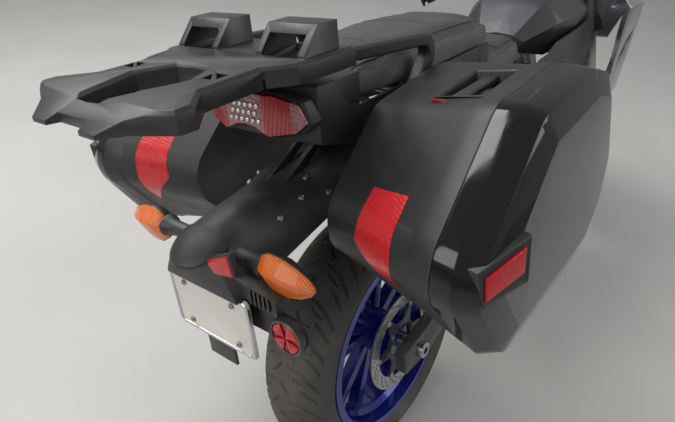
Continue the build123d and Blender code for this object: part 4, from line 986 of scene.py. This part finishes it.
# Fender: a rounded visor over the plate, a small red lens beside it, bolts on top and ribs on its box
CAP_FRONT_X, CAP_NOSE_X = -396, -462
CAP_HALF = 52
CAP_RIM_Z, CAP_RIM_FALL = 780, 18
CAP_TOP_Z, CAP_TOP_FALL = 799.5, 30
CAP_WALL = 3.0
HOOD_LENS_AT = Vector((-431, 0, 0))
HOOD_LENS_PIXELS = ((206, 259), (228, 256), (234, 277), (216, 273))
FENDER_BOLTS = ((-244, -62), (-200, -84), (-206, -40), (-300, -64), (-244, 62), (-200, 84))
RIB_COUNT, RIB_Y, RIB_STEP, RIB_Z = 5, -104, 9, 722


def add_cap():
    """The visor: rounded in plan, its rim falling from the sides to the nose."""
    rows, steps = 14, 24
    wide = steps + 1
    count = (rows + 1) * wide
    points, faces = [], []
    for layer in (0, 1):
        for row in range(rows + 1):
            share = 1 - (1 - row / rows) ** 2
            half = max(0.5, (CAP_HALF - layer * CAP_WALL) * (1 - share ** 2.2) ** 0.5)
            x = CAP_FRONT_X + (CAP_NOSE_X - CAP_FRONT_X + layer * CAP_WALL) * share
            rim = CAP_RIM_Z - CAP_RIM_FALL * share
            top = CAP_TOP_Z - CAP_TOP_FALL * share ** 1.7 - layer * CAP_WALL
            for step in range(wide):
                reach = -math.cos(math.pi * step / steps)
                points.append((x, half * reach, rim + (top - rim) * max(0.0, 1 - reach ** 2) ** 0.6))
        faces += ring_faces(rows + 1, wide, closed=False, start=layer * count)
    # The wall's thickness along both rims, the front edge and the nose
    for row in range(rows):
        for start in (row * wide, row * wide + steps):
            faces.append((start, start + wide, count + start + wide, count + start))
    for step in range(steps):
        for start in (step, rows * wide + step):
            faces.append((start, start + 1, count + start + 1, count + start))
    add_mesh("fender_cap", points, faces, "plastic", angle=50)


def finish_fender():
    """The fender with its visor, small lens, bolts and ribs."""
    soften("rear_fender", 0.003)
    add_cap()
    outline = on_face(HOOD_LENS_PIXELS, HOOD_LENS_AT, BACKWARD)
    lens_rows = ((1.0, -6), (1.0, 2.5), (0.93, 3.5))
    lens = add_mesh("hood_lens", *stacked(outline, BACKWARD, lens_rows), "cells", "red_lens")
    round_edges(lens, 0.001)
    rim_rows = ((1.16, -8), (1.14, 0.5), (1.02, 1.5))
    rim = add_mesh("hood_lens_surround", *stacked(outline, BACKWARD, rim_rows), "plastic")
    round_edges(rim, 0.001)
    tree = tree_of(nodes["rear_fender"])
    heads = [bolt_head(*dropped(tree, x, y), 6, 4) for x, y in FENDER_BOLTS]
    add_mesh("fender_bolts", *joined(heads), "bolt", "alloy")
    ribs = [prism((PLATE_X + 4, RIB_Y - RIB_STEP * step, RIB_Z), (0, -1, 0), (0, 0, 1), oblong(2, 12), 3)
            for step in range(RIB_COUNT)]
    add_mesh("box_ribs", *joined(ribs), "dusty")


finish_fender()

# Tyres with cut treads. Strokes: start, bend and end across and along the tread, and width
SHOULDER_SHARE = 0.66
RIM_RADIUS = 230
GROOVE_DEEP = 4.2
GROOVE_WALL = 1.3
# The pitch and the half width of tread that the strokes are drawn on
STROKE_PITCH, STROKE_HALF = 76.0, 112.0
STROKES = (((16, 0), (52, 4), (86, 46), 6.5), ((3, 34), (10, 50), (26, 60), 4.2),
           ((48, 46), (66, 56), (84, 78), 4.6), ((30, 20), (42, 28), (58, 34), 3.0))


def groove_depth(beside, along, pitch, scale, wide):
    """How deep the tread is cut at each place, from 0 to 1."""
    depth = np.zeros_like(beside)
    share = np.linspace(0, 1, 26)
    weights = ((1 - share) ** 2, 2 * (1 - share) * share, share**2)
    for mirror, shift in ((1, 0.0), (-1, pitch / 2)):
        side_place = beside * mirror
        local = (along + shift) % pitch
        for *bends, width in STROKES:
            line_u = sum(weight * bend[0] for weight, bend in zip(weights, bends)) * wide
            line_v = sum(weight * bend[1] for weight, bend in zip(weights, bends)) * scale
            half = width / 2 * wide * (0.30 + 0.70 * np.sin(np.pi * np.clip(share, 0.03, 0.97)) ** 0.8)
            for wrap in (-pitch, 0.0, pitch):
                for place in range(len(share)):
                    reach = np.hypot(side_place - line_u[place], local + wrap - line_v[place])
                    depth = np.maximum(depth, np.clip(1.0 - (reach - half[place]) / GROOVE_WALL, 0, 1))
    return depth * depth * (3 - 2 * depth)


def mesh_of_grid(name, points, around, wide):
    """A mesh of rows of points, each row joined to the next all round."""
    first = (np.arange(around)[:, None] * wide + np.arange(wide - 1)[None, :]).ravel()
    after = (((np.arange(around) + 1) % around)[:, None] * wide + np.arange(wide - 1)[None, :]).ravel()
    faces = np.stack([first, first + 1, after + 1, after], axis=-1)
    mesh = bpy.data.meshes.new(name)
    mesh.vertices.add(len(points))
    mesh.vertices.foreach_set("co", points.ravel())
    mesh.loops.add(faces.size)
    mesh.loops.foreach_set("vertex_index", faces.ravel())
    mesh.polygons.add(len(faces))
    mesh.polygons.foreach_set("loop_start", np.arange(0, faces.size, 4))
    mesh.update(calc_edges=True)
    mesh.validate()
    return mesh


def add_tyre(name, centre, width, seat_half, base, around, rows, count):
    """A tyre's outside with its grooves, in place of the plain one."""
    radius = centre.z
    shoulder = (radius - RIM_RADIUS) * SHOULDER_SHARE
    curve = ((width / 2) ** 2 + shoulder**2) / (2 * shoulder)
    edge = math.asin(width / 2 / curve)
    turn = np.linspace(-edge, edge, rows)
    tread_y, tread_r = curve * np.sin(turn), radius - curve + curve * np.cos(turn)
    # Each wall bulges a little at its bead and near its shoulder
    down = np.linspace(0, 1, 12)[1:]
    belly = radius - shoulder
    wall_y = width / 2 + (seat_half + 1 - width / 2) * down**1.5
    wall_y = wall_y + 0.9 * np.exp(-((down - 0.72) / 0.06) ** 2) + 0.7 * np.exp(-((down - 0.2) / 0.05) ** 2)
    wall_r = belly + (RIM_RADIUS - 2 - belly) * down
    section_y = np.concatenate([-wall_y[::-1], tread_y, wall_y])
    section_r = np.concatenate([wall_r[::-1], tread_r, wall_r])
    angle = np.linspace(0, 2 * math.pi, around, endpoint=False)
    pitch = 2 * math.pi * radius / count
    beside, along = np.meshgrid(curve * turn, angle * radius)
    depth = np.zeros((around, len(section_y)))
    depth[:, len(wall_y):len(wall_y) + rows] = GROOVE_DEEP * groove_depth(
        beside, along, pitch, pitch / STROKE_PITCH, curve * edge / STROKE_HALF)
    flat, ones = np.zeros(len(wall_y)), np.ones(len(wall_y))
    y = section_y[None, :] - np.concatenate([-ones, np.sin(turn), ones])[None, :] * depth
    r = section_r[None, :] - np.concatenate([flat, np.cos(turn), flat])[None, :] * depth
    x = centre.x + r * np.cos(angle)[:, None]
    z = centre.z + r * np.sin(angle)[:, None]
    points = np.stack([x, y + centre.y, z], axis=-1).reshape(-1, 3) * MM
    matrix = np.array(base)
    points = points @ matrix[:3, :3].T + matrix[:3, 3]
    piece = placed(name + "_treaded", mesh_of_grid(name + "_treaded", points, around, len(section_y)))
    smooth_by_angle(piece, 50)
    stand_for(piece, name)


add_tyre("rear_tyre", REAR_CENTRE, 180, 71, upright, 840, 76, 26)
add_tyre("front_tyre", FRONT_CENTRE, 120, 46, turned_bike, 720, 56, 25)

# Brake discs: a drilled band on a dark carrier, in millimetres from each wheel's centre
WHEELS = {"rear_wheel": (REAR_CENTRE, upright), "front_wheel": (FRONT_CENTRE, turned_bike)}
BAND_THICK, CARRIER_THICK = 5, 4.4
HOLE_GROUPS, HOLE_ROWS = 12, 4
BIG_HOLE, SMALL_HOLE = 3.4, 2.8
HOLE_MARGIN = 4
# Turn from row to row, and from a big hole to its small one, as shares of a group
ROW_TWIST, PAIR_TWIST = 0.16, 0.42
CARRIER_ARMS = 6
REAR_DISC_Y, REAR_OUTER, REAR_INNER, REAR_HUB = -87.5, 122.5, 92, 40
FRONT_DISC_Y, FRONT_OUTER, FRONT_INNER, FRONT_HUB = 71.5, 149, 116, 36


def on_circle(radius, turn):
    """A flat point by its radius and turn."""
    return radius * math.cos(turn), radius * math.sin(turn)


def add_disc(name, body, side_y, outer, inner, node):
    """A band with rows of holes, cut from a flat curve."""
    centre, base = WHEELS[body]
    curve = bpy.data.curves.new(name, "CURVE")
    curve.dimensions = "2D"
    curve.fill_mode = "BOTH"
    curve.extrude = BAND_THICK / 2 * MM
    circles = [(0, 0, outer, 96), (0, 0, inner, 72)]
    for group in range(HOLE_GROUPS):
        for row in range(HOLE_ROWS):
            reach = inner + HOLE_MARGIN + (outer - inner - 2 * HOLE_MARGIN) * (row + 0.5) / HOLE_ROWS
            turn = 2 * math.pi * (group + ROW_TWIST * row) / HOLE_GROUPS
            circles.append((*on_circle(reach, turn), BIG_HOLE, 12))
            turn += 2 * math.pi * PAIR_TWIST / HOLE_GROUPS
            circles.append((*on_circle(reach, turn), SMALL_HOLE, 12))
    for x, y, radius, count in circles:
        ring = curve.splines.new("POLY")
        ring.points.add(count - 1)
        ring.use_cyclic_u = True
        for step in range(count):
            a, b = on_circle(radius, 2 * math.pi * step / count)
            ring.points[step].co = ((x + a) * MM, (y + b) * MM, 0, 1)
    piece = placed(name, curve)
    bpy.context.view_layer.update()
    mesh = bpy.data.meshes.new_from_object(piece.evaluated_get(bpy.context.evaluated_depsgraph_get()))
    bpy.data.objects.remove(piece)
    spot = Vector((centre.x, side_y, centre.z)) * MM
    mesh.transform(base @ columns(Vector((1, 0, 0)), Vector((0, 0, 1)), Vector((0, -1, 0)), spot))
    made = placed(name, mesh)
    paint(made, materials["steel"])
    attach(made, body)
    smooth_by_angle(made, 30)
    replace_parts(made, node)


def add_carrier(name, body, side_y, reach, hub):
    """A dark carrier with arms and pins that holds a disc's band."""
    centre, base = WHEELS[body]

    def spot(radius, turn, depth):
        a, b = on_circle(radius, turn)
        return centre.x + a, side_y + depth, centre.z + b

    arms = [2 * math.pi * arm / CARRIER_ARMS for arm in range(CARRIER_ARMS)]
    outline = []
    for middle in arms:
        for turn, radius in ((-0.30, hub + 14), (-0.10, reach - 8), (-0.085, reach + 3), (0.085, reach + 3),
                             (0.10, reach - 8), (0.30, hub + 14)):
            outline.append((radius, middle + turn))
    count = len(outline)
    hole = [(hub, 2 * math.pi * step / count) for step in range(count)]
    half = CARRIER_THICK / 2
    points = [spot(*corner, depth) for ring in (outline, hole) for depth in (-half, half) for corner in ring]
    faces = []
    for step in range(count):
        after = (step + 1) % count
        faces.append((step, after, count + after, count + step))
        faces.append((2 * count + step, 3 * count + step, 3 * count + after, 2 * count + after))
        faces.append((step, 2 * count + step, 2 * count + after, after))
        faces.append((count + step, count + after, 3 * count + after, 3 * count + step))
    made = add_mesh(name, points, faces, "frame", "black_metal", body, base)
    round_edges(made, 0.0008)
    pins = [bolt_head(spot(reach - 3, middle, out * half), (0, out, 0), 6.5, 2.2)
            for middle in arms for out in (-1, 1)]
    add_mesh(name + "_pins", *joined(pins), "bolt", "alloy", body, base)


add_disc("rear_disc_band", "rear_wheel", REAR_DISC_Y, REAR_OUTER, REAR_INNER, "rear_disc")
add_carrier("rear_disc_carrier", "rear_wheel", REAR_DISC_Y, REAR_INNER, REAR_HUB)
for side, word in SIDES:
    add_disc(f"front_disc_band_{word}", "front_wheel", side * FRONT_DISC_Y, FRONT_OUTER, FRONT_INNER,
             "front_discs")
for side, word in SIDES:
    add_carrier(f"front_disc_carrier_{word}", "front_wheel", side * FRONT_DISC_Y, FRONT_INNER, FRONT_HUB)

# Chain: rollers and plates along its two runs and round both sprockets
CHAIN_Y = 103
CHAIN_TAIL = Vector((REAR_CENTRE.x, REAR_CENTRE.z))
CHAIN_NOSE = Vector((650, 402))
CHAIN_BIG, CHAIN_SMALL = 114, 48
CHAIN_STEP = 15.875
LINK_END, LINK_WAIST = 6.4, 4.6
# How far an outer and an inner plate's two faces lie from the chain's middle
OUTER_PLATE, INNER_PLATE = (6.0, 7.4), (4.4, 5.8)
ROLLER_PROFILE = [(0.01, -7.5), (3.0, -7.5), (3.0, -4.3), (5.0, -4.2), (5.0, 4.2), (3.0, 4.3), (3.0, 7.5),
                  (0.01, 7.5)]


def chain_route():
    """Evenly spaced pins of the chain, as places along and up."""
    gap = CHAIN_NOSE - CHAIN_TAIL
    tilt = math.atan2(gap.y, gap.x)
    lift = math.acos((CHAIN_BIG - CHAIN_SMALL) / gap.length)
    run = math.sqrt(gap.length**2 - (CHAIN_BIG - CHAIN_SMALL) ** 2)
    small = 2 * lift * CHAIN_SMALL
    total = (2 * math.pi - 2 * lift) * CHAIN_BIG + small + 2 * run
    links = round(total / CHAIN_STEP / 2) * 2

    def rear_spot(turn):
        return CHAIN_TAIL + Vector(on_circle(CHAIN_BIG, turn))

    def nose_spot(turn):
        return CHAIN_NOSE + Vector(on_circle(CHAIN_SMALL, turn))

    pins = []
    for link in range(links):
        way = total * link / links
        if way < run:
            pins.append(rear_spot(tilt + lift).lerp(nose_spot(tilt + lift), way / run))
        elif way < run + small:
            pins.append(nose_spot(tilt + lift - (way - run) / CHAIN_SMALL))
        elif way < 2 * run + small:
            pins.append(nose_spot(tilt - lift).lerp(rear_spot(tilt - lift), (way - run - small) / run))
        else:
            pins.append(rear_spot(tilt - lift - (way - 2 * run - small) / CHAIN_BIG))
    return pins


def link_outline(length):
    """A link plate's outline: two round ends and a waist."""
    outline = []
    for end_side in (1, -1):
        for step in range(7):
            a, b = on_circle(LINK_END, -math.pi / 2 + math.pi * step / 6)
            outline.append((end_side * (length / 2 + a), end_side * b))
        outline.append((0, end_side * LINK_WAIST))
    return outline


def add_chain():
    """The whole loop of links in one piece."""
    pins = chain_route()
    parts = []
    for link, start in enumerate(pins):
        end = pins[(link + 1) % len(pins)]
        along = (end - start).normalized()
        middle = (start + end) / 2
        outline = link_outline((end - start).length)
        near, far = OUTER_PLATE if link % 2 else INNER_PLATE
        for out in (-near, far):
            parts.append(prism((middle.x, CHAIN_Y + out, middle.y), (along.x, 0, along.y),
                               (-along.y, 0, along.x), outline, far - near))
        parts.append(turned((start.x, CHAIN_Y, start.y), (0, 1, 0), ROLLER_PROFILE, 10))
    piece = add_mesh("chain_links", *joined(parts), "chain", "chain_steel")
    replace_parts(piece, "chain")


add_chain()

# Seats: padded covers with a paler side band, in metres
SEAT_INSET, SEAT_SWELL = 0.004, 0.006
VOXEL, QUICK_VOXEL = 0.0055, 0.0075
PINNED_HEIGHT = 0.012
CLOTH_STEPS = 16
PRESSURE = 3.0
NEAR_MIDDLE = 0.05
# Faces that look up less than this are the side band
SIDE_SLOPE = 0.62


def stuff(piece, low):
    """Swell a seat's cover by cloth pressure, held at its base, each point by no more than the limit."""
    pinned = piece.vertex_groups.new(name="base")
    pinned.add([v.index for v in piece.data.vertices if v.co.z < low + PINNED_HEIGHT], 1.0, "ADD")
    before = np.array([v.co[:] for v in piece.data.vertices])
    cloth = piece.modifiers.new("stuffed", "CLOTH")
    cloth.settings.use_pressure = True
    cloth.settings.uniform_pressure_force = PRESSURE
    cloth.settings.effector_weights.gravity = 0.0
    cloth.settings.vertex_group_mass = "base"
    cloth.settings.quality = 5
    scene = bpy.context.scene
    for step in range(1, CLOTH_STEPS + 1):
        scene.frame_set(step)
    bake(piece)
    scene.frame_set(1)
    move = np.array([v.co[:] for v in piece.data.vertices]) - before
    length = np.linalg.norm(move, axis=1, keepdims=True)
    move = move * np.minimum(1.0, SEAT_SWELL / np.maximum(length, 1e-9))
    for vertex, place in zip(piece.data.vertices, before + move):
        vertex.co = place


def finish_seat(name, seam_drop):
    """A stuffed seat cover grown from the node's form, its side band seam_drop below the top."""
    piece = copy_of(name)
    piece.data.transform(from_world)
    low = min(vertex.co.z for vertex in piece.data.vertices)
    centre = sum((vertex.co for vertex in piece.data.vertices), Vector()) / len(piece.data.vertices)
    for vertex in piece.data.vertices:
        share = 1 - SEAT_INSET / max(NEAR_MIDDLE, (vertex.co.xy - centre.xy).length)
        vertex.co.x = centre.x + (vertex.co.x - centre.x) * share
        vertex.co.y = centre.y + (vertex.co.y - centre.y) * share
    remesh = piece.modifiers.new("even", "REMESH")
    remesh.mode = "VOXEL"
    remesh.voxel_size = VOXEL
    bake(piece)
    stuff(piece, low)
    smooth = piece.modifiers.new("settle", "SMOOTH")
    smooth.factor = 0.5
    smooth.iterations = 6
    fine = piece.modifiers.new("fine", "SUBSURF")
    fine.levels = 1
    bake(piece)
    top = max(vertex.co.z for vertex in piece.data.vertices)
    stand_for(piece, name, "seat")
    piece.data.materials.append(materials["band"])
    for face in piece.data.polygons:
        face.use_smooth = True
        side_face = abs(face.normal.z) < SIDE_SLOPE and face.center.z < top - seam_drop
        face.material_index = 1 if side_face else 0
    piece.data.transform(upright)
    return piece


pillion_tree = tree_of(finish_seat("pillion_seat", 0.028))
rider_tree = tree_of(finish_seat("rider_seat", 0.024))

# Welts run along each seat's edge and stitches beside them, by X and half width, in millimetres
PILLION_EDGE = ((-128, 66), (-60, 88), (120, 98), (322, 94))
RIDER_EDGE = ((352, 88), (430, 100), (520, 92), (622, 50))
STITCH_INSET = 7
# Half thickness and lift of a welt, a stitch and a cross seam
WELT, STITCH, SEAM = (1.8, 0.6), (0.7, 0.4), (1.0, 0.3)
# The pillion's cross seams: how far each point lies ahead of the seam's end, and its Y
CROSS_SEAM = ((0, -92), (14, -50), (18, 0), (14, 50), (0, 92))
SPOT_STEP = 4
WELT_SIDES = 8


def round_cord(run, radius):
    """Points and faces of a round cord along spots on a seat."""
    points = []
    for place, spot in enumerate(run):
        along = (run[min(place + 1, len(run) - 1)] - run[max(place - 1, 0)]).normalized()
        side = along.cross(Vector((0, 0, 1))).normalized()
        up = side.cross(along)
        for step in range(WELT_SIDES):
            a, b = on_circle(radius, 2 * math.pi * step / WELT_SIDES)
            points.append(spot + side * a + up * b)
    faces = ring_faces(len(run), WELT_SIDES)
    return points, faces + [tuple(range(WELT_SIDES)), last_ring(points, WELT_SIDES)]


def add_welt(name, tree, line, radius, lift, finish, dashes=0):
    """A round welt, or a row of stitches, laid on a seat along points given by X and Y."""
    spots = []
    for start, end in zip(line[:-1], line[1:]):
        steps = max(2, int((Vector(end) - Vector(start)).length / SPOT_STEP))
        for step in range(steps):
            spot = Vector(start).lerp(Vector(end), step / steps)
            place, normal, _, _ = tree.ray_cast(Vector((*spot, SKY)), Vector((0, 0, -1)))
            if place is not None:
                spots.append(place + normal * lift)
    runs = [spots]
    if dashes:
        runs = [spots[place:place + 2] for place in range(0, len(spots) - 2, dashes)]
    add_mesh(name, *joined([round_cord(run, radius) for run in runs]), finish, "seat_cover", angle=60)


for side, word in SIDES:
    for seat, tree, edge in (("pillion", pillion_tree, PILLION_EDGE), ("rider", rider_tree, RIDER_EDGE)):
        welt = [(x, side * half) for x, half in edge]
        add_welt(f"{seat}_welt_{word}", tree, welt, *WELT, "seat")
        stitch = [(x, side * (half - STITCH_INSET)) for x, half in edge]
        add_welt(f"{seat}_stitch_{word}", tree, stitch, *STITCH, "thread", 2)
for place, start in enumerate((-20, 150)):
    seam = [(start + x, y) for x, y in CROSS_SEAM]
    add_welt(f"pillion_cross_seam_{place}", pillion_tree, seam, *SEAM, "seat")

# Mirror glasses: where each lies on the fork, and its form
MIRROR_AT = (8, 360, 990)
MIRROR_WIDE, MIRROR_HIGH, MIRROR_CORNER = 154, 76, 24
GLASS_THICK, GLASS_SET = 2.0, 1.4


def fork_place(forward, side, height):
    """A point of the unturned fork, in the upright machine's millimetres."""
    out = Vector((math.cos(RAKE), 0, math.sin(RAKE)))
    up = Vector((-math.sin(RAKE), 0, math.cos(RAKE)))
    offset = FRONT_RADIUS * math.sin(RAKE) - TRAIL * math.cos(RAKE)
    return FRONT_CENTRE + out * (forward - offset) + Vector((0, side, 0)) + up * height


def add_mirror_glass(side, word):
    """The glass on a mirror head's back."""
    across_head = Vector((0, side, 0.12)).normalized()
    toward = Vector((1, 0, 0.1)).normalized()
    up = toward.cross(across_head).normalized()
    forward, out, height = MIRROR_AT
    spot = fork_place(forward, side * out, height) - toward * GLASS_SET
    outline = rounded(MIRROR_WIDE, MIRROR_HIGH, MIRROR_CORNER)
    points, faces = prism(spot, across_head * -side, up, outline, GLASS_THICK)
    piece = add_mesh(f"mirror_glass_{word}", points, faces, "mirror", "lamp_glass", "steering", turned_bike)
    round_edges(piece, 0.0006)


for side, word in SIDES:
    add_mirror_glass(side, word)


def add_stage():
    """A plain pale floor that fills the view."""
    bpy.ops.mesh.primitive_plane_add(size=30, location=(0, 0, 0))
    floor = bpy.context.object
    floor.name = "floor"
    graph = Graph("pale_floor")
    tone = graph.mix(graph.patches(1.4, 5.0), (0.50, 0.485, 0.46), (0.56, 0.545, 0.52))
    graph.put(graph.shader, Base_Color=tone, Roughness=0.6)
    floor.data.materials.append(graph.material)


add_camera()
add_stage()
add_light("key", (-0.7, 2.2, 3.4), (-0.3, 0, 0.6), 2.4, 120)
add_light("rear", (-3.6, 0.4, 2.2), (-0.5, 0, 0.7), 2.0, 45)
add_light("side", (1.4, -3.4, 2.9), (0.0, 0, 0.6), 3.0, 60)
world = bpy.data.worlds.new("studio")
world.use_nodes = True
world.node_tree.nodes["Background"].inputs["Color"].default_value = (0.85, 0.87, 0.9, 1)
world.node_tree.nodes["Background"].inputs["Strength"].default_value = 0.38
bpy.context.scene.world = world
bpy.context.scene.view_settings.view_transform = "Standard"
